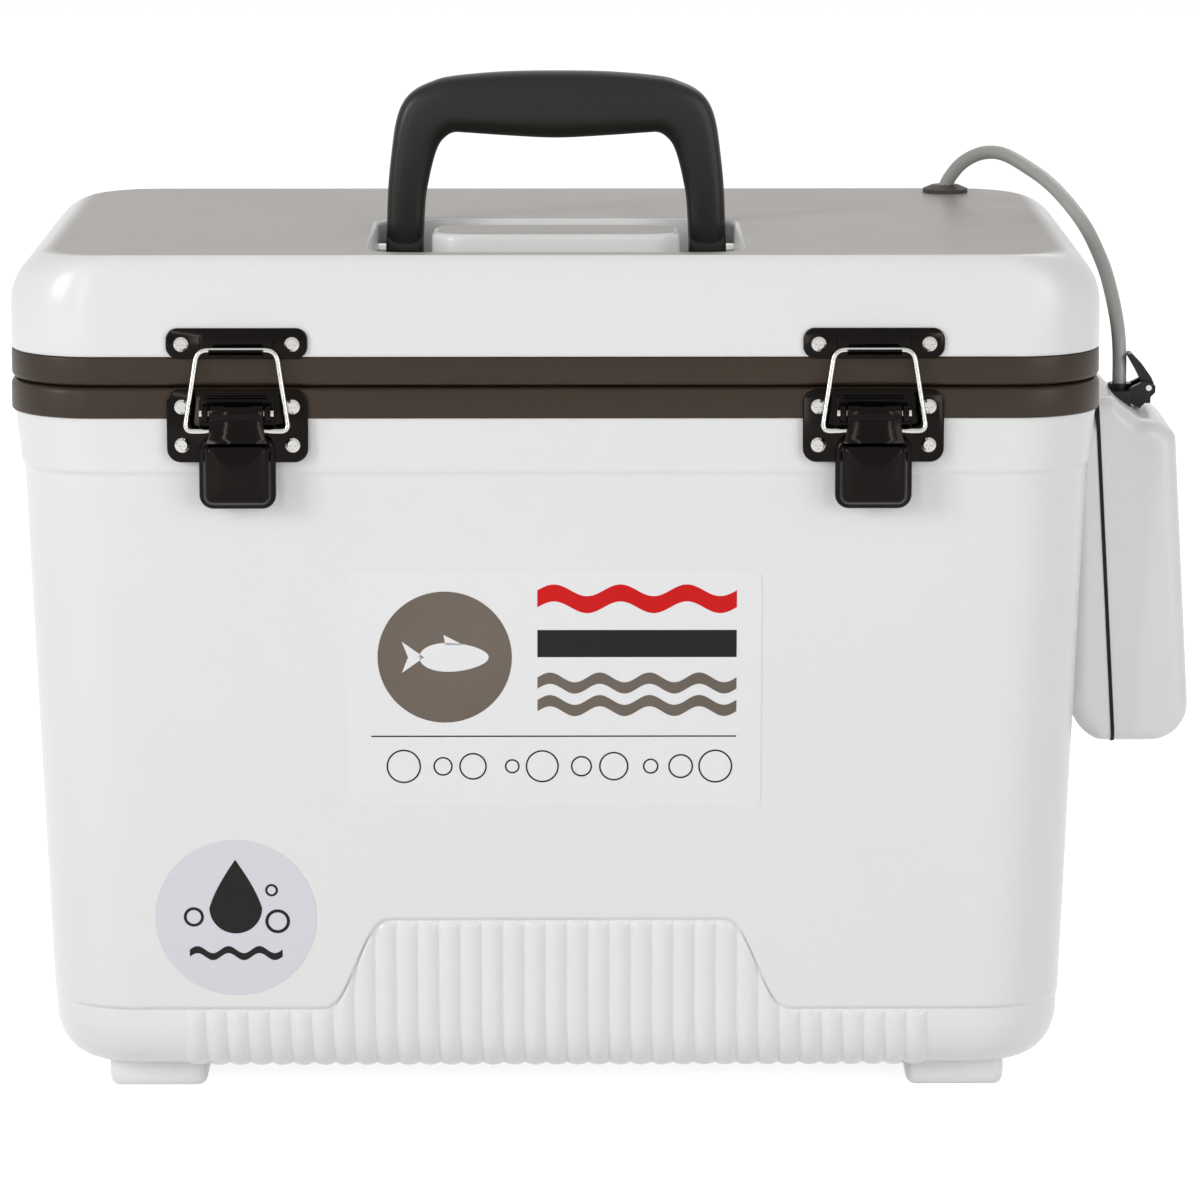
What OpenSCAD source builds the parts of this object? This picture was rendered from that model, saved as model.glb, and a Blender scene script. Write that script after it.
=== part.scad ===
// Insulated live bait box: an insulated rectangular tub with a hinged lid, two draw latches,
// a folding carry handle and a battery air pump that hangs on its right side.
// Millimetres. +X is the pump side, -Y is the latch side, +Z is up, and the feet stand on Z = 0.
// The origin is under the middle of the box that bounds everything but the air hose.

/* [Tub] */
// Width of the tub just under its collar
tub_w = 461.6; // [440:0.2:480]
// Depth of the tub, front to back, just under its collar
tub_d = 263.4; // [250:0.2:300]
// Height of the tub from its underside to the rim band
tub_h = 292.4; // [285:0.1:330]
// Lean of the tub's walls from upright, in degrees
draft = 2; // [0:0.25:3]
// Radius of the upright corners, seen from above
corner_r = 38; // [30:1:42]
// Radius between the tub's walls and its underside
base_r = 20; // [14:1:24]
// Height of the collar that stands out under the rim band
collar_h = 23.7; // [20:0.1:30]
// How far the collar stands out from the wall
collar_step = 1.2; // [0.5:0.1:2]
// Wall of the outer shell
shell_t = 3.5; // [3:0.1:5]
// Foam between the outer shell and the liner
foam_t = 27; // [20:0.5:32]
// Wall of the inner liner
liner_t = 2.5; // [2:0.1:4]
// Height of the feet
foot_h = 12.5; // [6:0.1:20]
// Width of one foot
foot_w = 43.4; // [30:0.1:60]
// Depth of one foot
foot_d = 38; // [20:1:60]
// Distance between the middles of the left and right feet
foot_span = 353; // [300:1:362]

/* [Ribbed field] */
// Height above the underside at which the ribbed field ends beside the feet
step_z = 29.8; // [26:0.1:40]
// Height above the underside at which the ribbed field ends in the middle
field_top = 70.2; // [60:0.1:110]
// Half the width of the raised middle of the ribbed field
field_half_w = 72; // [50:1:90]
// Width of the slope between the two heights
field_slope_w = 31.5; // [25:0.5:50]
// How deep the ribbed field lies under the front face
field_depth = 2; // [1:0.1:2.4]
// Distance from rib to rib
rib_pitch = 9.3; // [8:0.1:10]
// Ribs on each side of the middle one
rib_side = 17; // [8:1:17]
// How far a rib stands out
rib_h = 1.8; // [0.6:0.1:2]

/* [Rim and lid] */
// Width over the rim bands
rim_w = 471; // [465:0.5:500]
// Depth over the rim bands
rim_d = 270.5; // [266:0.5:310]
// Height of the tub's rim band
tub_band_h = 13.5; // [10:0.1:18]
// Gap between the two rim bands
split_gap = 0.5; // [0.3:0.1:1]
// Height of the lid's rim band
lid_band_h = 12.4; // [10:0.1:16]
// Height of the lid's shell above its rim band
lid_h = 43.4; // [38:0.1:60]
// Height of the rounding at the lid's top edges
lid_edge_r = 24; // [12:0.5:28]
// How far the lid's sides lean in over that height
lid_side_in = 22; // [8:0.5:26]
// How far the lid's front and back lean in over that height
lid_face_in = 6; // [3:0.5:10]
// Wall of the lid's shell
lid_t = 3; // [2.5:0.1:4]
// How far the lid's plug reaches down into the tub
plug_h = 8; // [4:0.5:12]
// Gap between the plug and the mouth of the tub
plug_gap = 2.5; // [1.5:0.1:4]
// Width of the seal in the rim
seal_w = 6; // [4:0.5:10]

/* [Carry handle] */
// Width over the handle's legs at its pivot
handle_w = 151.8; // [140:0.2:160]
// Height of the handle above its pivot
handle_h = 80.1; // [70:0.1:95]
// Width of one leg
leg_w = 16.5; // [14:0.1:18]
// Thickness of the grip, from its top to its belly
grip_t = 29.8; // [20:0.1:32]
// Thickness of the grip, front to back
grip_d = 18; // [14:0.5:18]
// Thickness of a leg, front to back
leg_d = 14; // [10:0.5:16]
// Radius of the pins that the handle turns on
handle_pin_r = 3; // [2:0.1:4]
// Distance of the handle's pivot behind the lid's front face
handle_back = 128; // [120:0.5:140]
// Gap between a leg's outer side and the pocket
handle_gap = 3.8; // [1:0.1:6]
// Depth of the pocket in the lid
pocket_h = 22; // [20:0.5:26]
// Distance of the pocket's front edge behind the lid's front face
pocket_front = 17; // [14:0.5:30]
// Radius of the pocket's corners
pocket_r = 14; // [8:1:20]
// Width of the block that the folded handle closes round
block_w = 110; // [80:1:112]
// Depth of that block, front to back
block_d = 38.5; // [25:0.5:39]
// Radius of that block's upright corners
block_r = 15; // [8:0.5:18]

/* [Latches] */
// Distance from the middle to each latch
latch_x = 135.8; // [110:0.2:150]
// Width of the latch plates
plate_w = 60.4; // [56:0.2:70]
// Thickness of the latch plates
plate_t = 1.5; // [1:0.1:2]
// Height of the keeper plate on the lid
keeper_h = 13; // [12:0.1:18]
// Height of the base plate on the tub
base_plate_h = 31.4; // [30:0.1:36]
// Width of the lever
lever_w = 32.8; // [30:0.2:38]
// Width of the lever's neck
neck_w = 23.3; // [20:0.1:25]
// Length of the lever below its pivot
lever_l = 41.5; // [36:0.5:50]
// Thickness of the lever's grip
lever_t = 9; // [6:0.5:10]
// Radius of the lever's pin
lever_pin_r = 1.6; // [1.2:0.1:2]
// Distance from the lever's pin to the wire bail's ends
throw = 7.6; // [7.4:0.1:8.4]
// Diameter of the wire of the bail
wire_d = 2.3; // [1.8:0.1:2.4]
// Width of the bail at its ends, over the wire
bail_low_w = 46.6; // [44:0.2:50]
// Width of the bail at its bar, over the wire
bail_top_w = 36; // [34:0.2:38]
// Radius of the screws' heads
screw_head_r = 3.15; // [2.5:0.05:3.2]
// Radius of the screws' shanks
screw_r = 1.7; // [1.2:0.1:1.9]

/* [Hinges] */
// Distance from the middle to each hinge
hinge_x = 135; // [100:1:160]
// Length of a hinge
hinge_l = 60; // [40:1:80]
// Radius of a hinge's barrel
barrel_r = 3.6; // [3:0.1:4.5]
// Radius of a hinge's pin
hinge_pin_r = 1.5; // [1:0.1:2]
// Height of a hinge leaf
leaf_h = 24; // [18:1:30]

/* [Air pump] */
// Height of the pump's case
pump_h = 156.9; // [150:0.1:180]
// Width of the pump's case, front to back
pump_w = 86; // [82:0.5:100]
// Thickness of the pump's outer half
pump_t = 34; // [32:0.1:40]
// Wall of the pump's case
pump_wall = 2; // [1.6:0.1:2.4]
// Radius of the battery cells
cell_r = 17.1; // [13:0.1:17.1]
// Length of the battery cells
cell_l = 61.5; // [50:0.1:61.5]
// Radius of the motor
motor_r = 12; // [8:0.5:12.5]
// Length of the motor
motor_l = 26; // [20:0.5:28]
// Throw of the eccentric on the motor's shaft
crank = 1.2; // [0.6:0.1:1.4]
// Diameter of the air hose
hose_d = 6.35; // [5:0.05:7]

/* [Labels] */
// Width of the front label
label_w = 179.3; // [120:0.1:190]
// Height of the front label
label_h = 104.4; // [60:0.1:120]
// Depth of the front label's middle below the tub's collar
label_drop = 95.5; // [60:0.5:120]
// Radius of the round label
disc_r = 35; // [20:0.5:36]
// Distance of the round label's middle from the tub's left side
disc_edge = 91.1; // [80:0.1:180]
// Height of the round label's middle above the feet
disc_z = 71.1; // [60:0.1:90]
// Thickness of the labels
label_t = 0.3; // [0.2:0.1:0.6]

/* [Hidden] */
$fn = 48;
eps = 0.01;
fit = 0.05; // radial gap of a pin that turns
touch = 0.02; // gap between pieces that lie on each other

// Colours
c_white = [0.93, 0.93, 0.92];
c_brown = [0.27, 0.22, 0.18];
c_black = [0.12, 0.12, 0.12];
c_handle = [0.2, 0.2, 0.18];
c_nickel = [0.2, 0.19, 0.18];
c_steel = [0.75, 0.74, 0.72];
c_foam = [0.9, 0.85, 0.6];
c_hose = [0.75, 0.76, 0.75];
c_label = [0.95, 0.95, 0.96];

// Levels
z_rim = foot_h + tub_h; // underside of the tub's rim band
z_collar = z_rim - collar_h;
z_split = z_rim + tub_band_h; // top of the tub's rim band
z_lid_band = z_split + split_gap;
z_lid = z_lid_band + lid_band_h; // underside of the lid's shell
z_top = z_lid + lid_h;
front = rim_d / 2; // distance of the front face from the middle
face_w = max(rim_w, tub_w + 9.4) / 2; // distance of the widest side faces from the middle
face_d = max(rim_d, tub_d + 7.1) / 2; // the same for front and back, where the fittings stand
wall_all = shell_t + foam_t + liner_t;
mouth_w = rim_w - 2 * wall_all - 2.6;
mouth_d = rim_d - 2 * wall_all - 2.6;
mouth_r = 12;
z_floor = foot_h + wall_all; // floor of the tub, inside

// Half the tub's width and depth at a height, on its drafted walls
function half_w(z) = tub_w / 2 - (z_collar - z) * tan(draft);
function half_d(z) = tub_d / 2 - (z_collar - z) * tan(draft);
// Half the liner's inner width and depth at a height
function in_w(z) = mouth_w / 2 - (z_rim - z) * tan(draft);
function in_d(z) = mouth_d / 2 - (z_rim - z) * tan(draft);

// Handle
handle_y = -front + handle_back;
boss_r = leg_d / 2 + 0.8;
pocket_z = z_top - pocket_h;
pivot_z = pocket_z + grip_d / 2 + 0.5;
pocket_w = handle_w + 2 * handle_gap;
pocket_back = handle_back + boss_r + 5;

// Latch
plate_y = -face_d - plate_t; // front face of both latch plates
lever_y = plate_y - 5.5; // the lever's pin
base_z = z_rim - 18.6; // lower edge of the base plate
lever_z = base_z + base_plate_h - 9.4; // the lever's pin
bar_y = plate_y - 0.4 - wire_d / 2; // the bail's bar
bar_z = z_lid + 3.6;
end_z = lever_z - throw; // the bail's ends
lug_t = 2.7;
lever_front = lever_y + 4 - lever_t; // front of the lever's grip
row_in = 6.6; // distance of the screws from the plates' ends

// Hinge
hinge_y = face_d + barrel_r + 0.3;
hinge_z = z_split + split_gap / 2;
leaf_y = face_d + 1.6;

// Pump: u is the distance outward from the case's seam, which leans like seam_x
pump_top = z_rim - 4.3;
pump_bottom = pump_top - pump_h;
pump_mid_z = (pump_top + pump_bottom) / 2;
pump_lean = 0.062;
lean = atan(pump_lean);
seam_in = 4.5; // distance of the seam's top outside the rim band
gasket_t = 1.6;
function seam_x(z) = face_w + seam_in + (pump_top - z) * pump_lean;
pump_corner = 18;
rear_t = 17.2;
case_edge = 8; // rounding of the case's outer edges
// Width and heights of the case's halves at the distance u from the seam
function front_top(u) = pump_top + lookup(u, [
  [0, 0], [6.6, -0.2], [pump_t - 23.8, -4.4], [pump_t - 19, -8], [pump_t - 16, -10.5],
  [pump_t - 8, -11], [pump_t - 3.4, -14.8], [pump_t, -17.6]]);
function front_low(u) = pump_bottom + (u <= pump_t - pump_corner ? 0 :
  pump_corner - sqrt(pow(pump_corner, 2) - pow(u - pump_t + pump_corner, 2)));
function front_y(u) = pump_w / 2 - (u <= pump_t - case_edge ? 0 :
  case_edge - sqrt(pow(case_edge, 2) - pow(u - pump_t + case_edge, 2)));
back_top = -30.6; // where the inner half's sloping back begins, below the case's top
back_low = 14 - pump_h;
function rear_top(u) = pump_top
  + lookup(u, [[-17.7, back_low], [-8.5, back_top], [-4, -9.6], [0, -9.6]]);
function rear_low(u) = pump_bottom + lookup(u, [[-17.7, 14], [-13, 5], [-6, 0], [0, 0]]);
function rear_y(u) = pump_w / 2 - 4 * pow(u / rear_t, 2);
front_us = [
  pump_t, pump_t - 0.6, pump_t - 2.3, pump_t - 4.9, pump_t - 8, pump_t - 12, pump_t - 16,
  pump_t - 19, pump_t - 23.8, 6.6, 0];
rear_us = [-rear_t, -16, -13, -8.5, -6, -4, 0];
half_gap = gasket_t / 2 + touch; // from the seam to either half of the case
// X of the rear half's back on its straight part
function rear_x(z) = seam_x(z) - half_gap
  - 8.5 - 9.2 * (pump_top + back_top - z) / (back_top - back_low);
hose_x = seam_x(pump_top) + 14;
hub_top = pump_top - 2.4;
latch_pin_x = seam_x(pump_top) + 26.5;
latch_pin_z = hub_top + 1.4;
latch_pin_r = 1.3;
tongue = 7.4; // from the latch's pin to the end of its tongue
cell_x = seam_x(pump_bottom + 38) + 8.6;
cell_y = cell_r + 0.5;
cell_z = pump_bottom + 7;
chassis_z = cell_z + cell_l + 1.2;
chassis_t = 3;
motor_z = chassis_z + chassis_t + 12.9;
motor_end = -13; // where the motor's shaft leaves it
shaft_r = 1;
cam_r = 4;
yoke_r = cam_r + crank + 0.4;
diaphragm_z = motor_z + 27;
head_r = 14;
barb_top = diaphragm_z + 25.4;
hose_z = barb_top + touch; // lower end of the hose, inside the case
switch_z = pump_bottom + 103;
switch_x = seam_x(switch_z) + half_gap + pump_t;

// Places of the air hose, from the pump to the lid, and on to the tub's floor
grommet_x = rim_w / 2 - 53.5;
grommet_y = front - 22.25;
drop_x = grommet_x - 7; // where the inner hose leaves the lid
drop_y = mouth_d / 2 - 20.95;
// Points of the outer hose, as shares of the way from the pump to the grommet
loop = [
  [0, 0.021, 0.19], [0.011, 0.068, 0.35], [0.042, 0.155, 0.535], [0.081, 0.246, 0.682],
  [0.16, 0.358, 0.863], [0.253, 0.465, 0.997], [0.36, 0.586, 1.11], [0.465, 0.697, 1.184],
  [0.632, 0.822, 1.27], [0.764, 0.903, 1.27], [0.885, 0.957, 1.204], [0.968, 0.988, 1.103],
  [1.011, 1.003, 1.011]];
outer_route = concat(
  [[hose_x, 0, hose_z], [hose_x, 0, pump_top + 2]],
  [for (p = loop) [hose_x + (grommet_x - hose_x) * p[0], grommet_y * p[1],
    pump_top + 2 + (z_top - pump_top - 2) * p[2]]]);
// A double bend from a down to b, upright at both ends
function double_bend(a, b) =
  let (h = a[2] - b[2], d = norm([b[0] - a[0], b[1] - a[1]]), r = (h * h + d * d) / 4 / d,
    turn = asin(h / 2 / r))
  [for (k = [0:6])
    let (
      u = turn * min(k, 6 - k) / 3, f = k < 3 ? r * (1 - cos(u)) / d : 1 - r * (1 - cos(u)) / d)
    [a[0] + (b[0] - a[0]) * f, a[1] + (b[1] - a[1]) * f,
     k < 3 ? a[2] - r * sin(u) : b[2] + r * sin(u)]];
sweep = 26; // radius of the hose's bend at the tub's floor
inner_route = concat(
  [[grommet_x, grommet_y, z_top - 9 - touch], [grommet_x, grommet_y, z_top - 10.2]],
  double_bend([grommet_x, grommet_y, z_top - 11.5], [drop_x, drop_y, z_split - 6.4]),
  [[drop_x, drop_y, 240], [drop_x, drop_y, 170], [drop_x, drop_y, z_floor + 56]],
  [for (a = [0:22.5:90])
    [drop_x, drop_y - sweep * (1 - cos(a)), z_floor + 9.5 + sweep * (1 - sin(a))]],
  [[drop_x, drop_y - sweep - 5, z_floor + 9.5], [drop_x, drop_y - sweep - 10, z_floor + 9.5]]);
stone_r = 9.4;
stone_l = 32;

// Middle of the bounding box, without the hose
x_min = -rim_w / 2;
x_max = seam_x(front_low(pump_t)) + pump_t + half_gap;
y_min = lever_front;
y_max = hinge_y + barrel_r;
mid_x = (x_min + x_max) / 2;
mid_y = (y_min + y_max) / 2;

// ---- Shapes ----

n_corner = 6;
function side_x(c) = (c == 0 || c == 3) ? 1 : -1;
function side_y(c) = c < 2 ? 1 : -1;
// A rounded rectangle at height z, anticlockwise from above
function round_rect(w, d, r, z) = [
  for (c = [0:3]) for (i = [0:n_corner])
    let (a = 90 * (c + i / n_corner))
    [side_x(c) * (w / 2 - r) + r * cos(a), side_y(c) * (d / 2 - r) + r * sin(a), z]];

// A closed skin over rings of equal counts, each anticlockwise seen along the stack
module skin(rings) {
  n = len(rings[0]);
  m = len(rings);
  polyhedron(
    points = [for (r = rings) each r],
    faces = concat(
      [[for (i = [0:n - 1]) i]],
      [[for (i = [n - 1:-1:0]) (m - 1) * n + i]],
      [for (k = [0:m - 2]) for (i = [0:n - 1])
        let (j = (i + 1) % n)
        each [[k * n + i, (k + 1) * n + i, (k + 1) * n + j], [k * n + i, (k + 1) * n + j, k * n + j]]]));
}

// A flat slab with rounded upright corners
module slab(w, d, r, z0, z1) {
  translate([0, 0, z0]) linear_extrude(z1 - z0) plan(w, d, r);
}
module plan(w, d, r) {
  square([w - 2 * r, d], center = true);
  square([w, d - 2 * r], center = true);
  for (x = [-1, 1], y = [-1, 1]) translate([x * (w / 2 - r), y * (d / 2 - r)]) circle(r);
}
// An outline in X and Z, extruded from y0 to y1
module along_y(y0, y1) {
  translate([0, y1, 0]) rotate([90, 0, 0]) linear_extrude(y1 - y0) children();
}
// An outline in Y and Z, extruded from x0 to x1
module along_x(x0, x1) {
  translate([x0, 0, 0]) rotate([90, 0, 90]) linear_extrude(x1 - x0) children();
}
module rod_x(x0, x1, y, z, r) {
  translate([x0, y, z]) rotate([0, 90, 0]) cylinder(r = r, h = x1 - x0);
}
module rod_y(y0, y1, x, z, r) {
  translate([x, y0, z]) rotate([-90, 0, 0]) cylinder(r = r, h = y1 - y0);
}
module box(lo, hi) {
  translate(lo) cube(hi - lo);
}
// Everything stands in the frame whose origin is under the middle of the bounding box
module placed() {
  translate([-mid_x, -mid_y, 0]) children();
}

// ---- Tubes along a route ----

function unit(v) = v / norm(v);
// Points of a smooth curve through the route's points, with steps between them
function smooth(route, steps) = [
  for (i = [0:len(route) - 2])
    let (
      a = route[max(i - 1, 0)], b = route[i], c = route[i + 1],
      d = route[min(i + 2, len(route) - 1)])
    for (k = [0:(i == len(route) - 2 ? steps : steps - 1)])
      let (t = k / steps)
      0.5 * (2 * b + (c - a) * t + (2 * a - 5 * b + 4 * c - d) * t * t
        + (3 * b - a - 3 * c + d) * t * t * t)];
// Rings of n points and radius r round a line; side is never along the line
function tube_rings(line, r, n, side) = [
  for (i = [0:len(line) - 1])
    let (
      t = unit(line[min(i + 1, len(line) - 1)] - line[max(i - 1, 0)]),
      p = unit(side - (side * t) * t), q = cross(t, p))
    [for (k = [0:n - 1]) line[i] + r * cos(360 * k / n) * p + r * sin(360 * k / n) * q]];
// A corner of a bent wire, rounded between a and c
function bend(a, b, c, cut) =
  let (p = b + cut * unit(a - b), q = b + cut * unit(c - b))
  [for (k = [0:4]) let (t = k / 4) (1 - t) * (1 - t) * p + 2 * t * (1 - t) * b + t * t * q];

// ---- Tub ----

// Half widths, half depths, corner radii and heights of a skin at g inside the tub's outer face
function inside_rings(g) =
  let (low_w = half_w(foot_h) - 0.5 - g, low_d = half_d(foot_h) - field_depth - g, r = corner_r - g,
    z1 = foot_h + field_top + 1.5, z2 = foot_h + field_top + 12)
  [[low_w - 10, low_d - 10, r - 10, foot_h + g],
   [low_w - 3, low_d - 3, r - 3, foot_h + g + 7],
   [low_w, low_d, r, foot_h + base_r + 5],
   [half_w(z1) - g, low_d + 0.6, r, z1],
   [half_w(z2) - g, half_d(z2) - g, r, z2],
   [half_w(z_collar) - g, half_d(z_collar) - g, r, z_collar],
   [rim_w / 2 - 1.3 - g, rim_d / 2 - 1.3 - g, r, z_rim]];

// A ring of marked points: each is [its place round the ring from 0 to 4, the point]
function corner_marks(c, w, d, r, z) = [
  for (i = [0:n_corner])
    let (a = 90 * (c + i / n_corner))
    [c + 0.5 * i / n_corner,
     [side_x(c) * (w - r) + r * cos(a), side_y(c) * (d - r) + r * sin(a), z]]];
// marks are [x, crest] along the front and back; out and down move a crest; zf gives a height
function marked_ring(w, d, r, marks, out, down, zf) =
  let (span = w - r, n = len(marks))
  concat(
    corner_marks(0, w, d, r, zf(w)),
    [for (i = [n - 1:-1:0]) let (m = marks[i])
      [0.75 - 0.25 * m[0] / span, [m[0], d + out * m[1], zf(m[0]) - down * m[1]]]],
    corner_marks(1, w, d, r, zf(w)),
    corner_marks(2, w, d, r, zf(w)),
    [for (m = marks)
      [2.75 + 0.25 * m[0] / span, [m[0], -d - out * m[1], zf(m[0]) - down * m[1]]]],
    corner_marks(3, w, d, r, zf(w)));
// Triangles between two marked rings whose first points have the numbers a0 and b0
function stitch(ra, rb, a0, b0, i = 0, j = 0, acc = []) =
  (i == len(ra) && j == len(rb)) ? acc :
  (j == len(rb) || (i < len(ra) && next_mark(ra, i) <= next_mark(rb, j)))
    ? stitch(ra, rb, a0, b0, i + 1, j,
        concat(acc, [[a0 + i, b0 + j % len(rb), a0 + (i + 1) % len(ra)]]))
    : stitch(ra, rb, a0, b0, i, j + 1,
        concat(acc, [[a0 + i % len(ra), b0 + j, b0 + (j + 1) % len(rb)]]));
function next_mark(ring, i) = i + 1 < len(ring) ? ring[i + 1][0] : 4;
function sum_to(v, n, i = 0, s = 0) = i >= n ? s : sum_to(v, n, i + 1, s + v[i]);
module marked_skin(rings) {
  counts = [for (r = rings) len(r)];
  start = [for (k = [0:len(rings)]) sum_to(counts, k)];
  last = len(rings) - 1;
  polyhedron(
    points = [for (r = rings) for (m = r) m[1]],
    faces = concat(
      [[for (i = [0:counts[0] - 1]) i]],
      [[for (i = [counts[last] - 1:-1:0]) start[last] + i]],
      [for (k = [0:last - 1]) each stitch(rings[k], rings[k + 1], start[k], start[k + 1])]));
}

rib_w = 0.84 * rib_pitch;
rib_marks = [
  for (k = [-rib_side:rib_side])
    each [[k * rib_pitch - rib_w / 2, 0], [k * rib_pitch - 0.22 * rib_w, 1],
          [k * rib_pitch + 0.22 * rib_w, 1], [k * rib_pitch + rib_w / 2, 0]]];
edge_marks = [
  for (s = [-1, 1]) for (k = [0:11])
    [s * (field_half_w + field_slope_w * (s < 0 ? 11 - k : k) / 11), 0]];
function ease(t) = t <= 0 ? 0 : t >= 1 ? 1 : t * t * t * (t * (6 * t - 15) + 10);
// Height of the ribbed field's upper edge
field_z = function(x) foot_h + step_z
  + (field_top - step_z) * ease((field_half_w + field_slope_w - abs(x)) / field_slope_w);

module tub_shell() {
  side_in = 0.5; // how far the ribbed field's ends lie under the sides
  z0 = foot_h;
  low_w = half_w(z0) - side_in;
  low_d = half_d(z0) - field_depth;
  fillet = function(a) [base_r * (1 - cos(a)), z0 + base_r * (1 - sin(a))];
  plain = function(w, d, r, z) marked_ring(w, d, r, [], 0, 0, function(x) z);
  ribbed = function(a) marked_ring(
    low_w - fillet(a)[0], low_d - fillet(a)[0], corner_r - fillet(a)[0], rib_marks,
    rib_h * cos(a), rib_h * sin(a) * 0.5, function(x) fillet(a)[1]);
  inside = inside_rings(shell_t);
  color(c_white) marked_skin(concat([
    plain(low_w - base_r - 2, low_d - base_r - 2, corner_r - base_r - 2, z0),
    ribbed(90), ribbed(50), ribbed(20), ribbed(0),
    marked_ring(low_w + 0.6, low_d + 0.6, corner_r, rib_marks, rib_h, 0, field_z),
    marked_ring(half_w(z0 + step_z), half_d(z0 + step_z), corner_r, edge_marks, 0, 0,
      function(x) field_z(x) + 1.5),
    plain(half_w(z_rim / 2), half_d(z_rim / 2), corner_r, z_rim / 2),
    plain(half_w(z_collar), half_d(z_collar), corner_r, z_collar - 0.6),
    plain(half_w(z_collar) + collar_step, half_d(z_collar) + collar_step, corner_r, z_collar + 0.6),
    plain(rim_w / 2 - 1.3, rim_d / 2 - 1.3, corner_r, z_rim)],
    [for (i = [len(inside) - 1:-1:0]) let (v = inside[i]) plain(v[0], v[1], v[2], v[3])]));
}

// Cup between the shell and the liner
module tub_insulation() {
  color(c_foam) skin(concat(
    [for (v = inside_rings(shell_t + 0.1)) round_rect(2 * v[0], 2 * v[1], v[2], v[3])],
    [round_rect(mouth_w + 2 * liner_t + 0.1, mouth_d + 2 * liner_t + 0.1, mouth_r, z_rim),
     round_rect(2 * (in_w(z_floor) + liner_t) + 0.1, 2 * (in_d(z_floor) + liner_t) + 0.1,
       mouth_r, z_floor - liner_t)]));
}

module tub_liner() {
  color(c_white) skin([
    round_rect(2 * (in_w(z_floor) + liner_t), 2 * (in_d(z_floor) + liner_t), mouth_r,
      z_floor - liner_t),
    round_rect(mouth_w + 2 * liner_t, mouth_d + 2 * liner_t, mouth_r, z_rim),
    round_rect(mouth_w, mouth_d, mouth_r - liner_t, z_rim),
    round_rect(2 * in_w(z_floor + 8), 2 * in_d(z_floor + 8), mouth_r - liner_t, z_floor + 8),
    round_rect(2 * in_w(z_floor) - 8, 2 * in_d(z_floor) - 8, mouth_r - liner_t - 3, z_floor)]);
}

seal_mid = wall_all / 2; // distance of the seal's middle from the rim's outer edge
module seal_ring(w, z0, z1) {
  difference() {
    slab(rim_w - 2 * seal_mid + w, rim_d - 2 * seal_mid + w, corner_r - seal_mid + w / 2, z0, z1);
    slab(rim_w - 2 * seal_mid - w, rim_d - 2 * seal_mid - w, corner_r - seal_mid - w / 2,
      z0 - 1, z1 + 1);
  }
}
module tub_rim_band() {
  color(c_brown) difference() {
    slab(rim_w, rim_d, corner_r, z_rim, z_split);
    slab(mouth_w, mouth_d, mouth_r - liner_t, z_rim - 1, z_split + 1);
    seal_ring(seal_w + 0.2, z_split - 3, z_split + 1);
  }
}
module rim_gasket() {
  color(c_foam) seal_ring(seal_w, z_split - 3, z_split + split_gap / 2);
}

module feet() {
  foot_y = half_d(foot_h) - base_r - foot_d / 2 - 4.5;
  color(c_white) for (x = [-1, 1], y = [-1, 1])
    translate([x * foot_span / 2, y * foot_y, 0])
      along_y(-foot_d / 2, foot_d / 2)
        intersection() {
          translate([0, foot_h]) plan(foot_w, 2 * foot_h, 5);
          translate([-foot_w / 2, 0]) square([foot_w, foot_h]);
        }
}

module front_label() {
  mid = z_collar - label_drop;
  z0 = mid - label_h / 2;
  z1 = mid + label_h / 2;
  g = touch;
  color(c_label) along_x(-1 - label_w / 2, -1 + label_w / 2)
    polygon([[-half_d(z0) - g, z0], [-half_d(z1) - g, z1],
      [-half_d(z1) - g - label_t, z1], [-half_d(z0) - g - label_t, z0]]);
}
module round_label() {
  z = foot_h + disc_z;
  color(c_label) translate([disc_edge - tub_w / 2, -half_d(z) - touch, z])
    rotate([90 + draft, 0, 0]) cylinder(r = disc_r, h = label_t, $fn = 96);
}

// ---- Screws: a pan head with a cross in it, pointing along -Y of the children's frame ----

module screw(length) {
  head_h = 1.7;
  rotate([90, 0, 0]) difference() {
    union() {
      cylinder(r = screw_head_r, h = 0.8, $fn = 32);
      translate([0, 0, 0.8]) cylinder(r1 = screw_head_r, r2 = screw_head_r - 1, h = head_h - 0.8, $fn = 32);
      translate([0, 0, -length]) cylinder(r = screw_r, h = length, $fn = 32);
    }
    for (a = [0, 90]) rotate([0, 0, a])
      translate([-1.7, -0.35, head_h - 0.8]) cube([3.4, 0.7, 1]);
  }
}

// ---- Latches ----

function screw_rows(base) = [
  for (x = [-1, 1]) for (z = base ? [base_z + 7.6, base_z + 24.1] : [z_lid + 6])
    [x * (plate_w / 2 - row_in), z]];
module plate_holes(base) {
  for (p = screw_rows(base))
    translate([p[0], 0, p[1]]) rotate([90, 0, 0]) cylinder(r = screw_r + 0.1, h = 3 * front);
}
module plate(z0, h, r, base) {
  along_y(plate_y, plate_y + plate_t - touch) translate([0, z0 + h / 2]) plan(plate_w, h, r);
}

module latch_base(x) {
  lug_x = neck_w / 2 + 0.3;
  color(c_nickel) translate([x, 0, 0]) difference() {
    union() {
      plate(base_z, base_plate_h, 6, true);
      for (s = [-1, 1]) translate([s * (lug_x + lug_t / 2), 0, 0]) {
        rod_x(-lug_t / 2, lug_t / 2, lever_y, lever_z, 4);
        box([-lug_t / 2, lever_y, lever_z - 4], [lug_t / 2, plate_y + 0.5, lever_z + 4]);
      }
      box([-13, plate_y - 0.9, lever_z + 5.6], [13, plate_y + 0.5, lever_z + 6.8]);
    }
    plate_holes(true);
    rod_x(-20, 20, lever_y, lever_z, lever_pin_r);
  }
}

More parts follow.
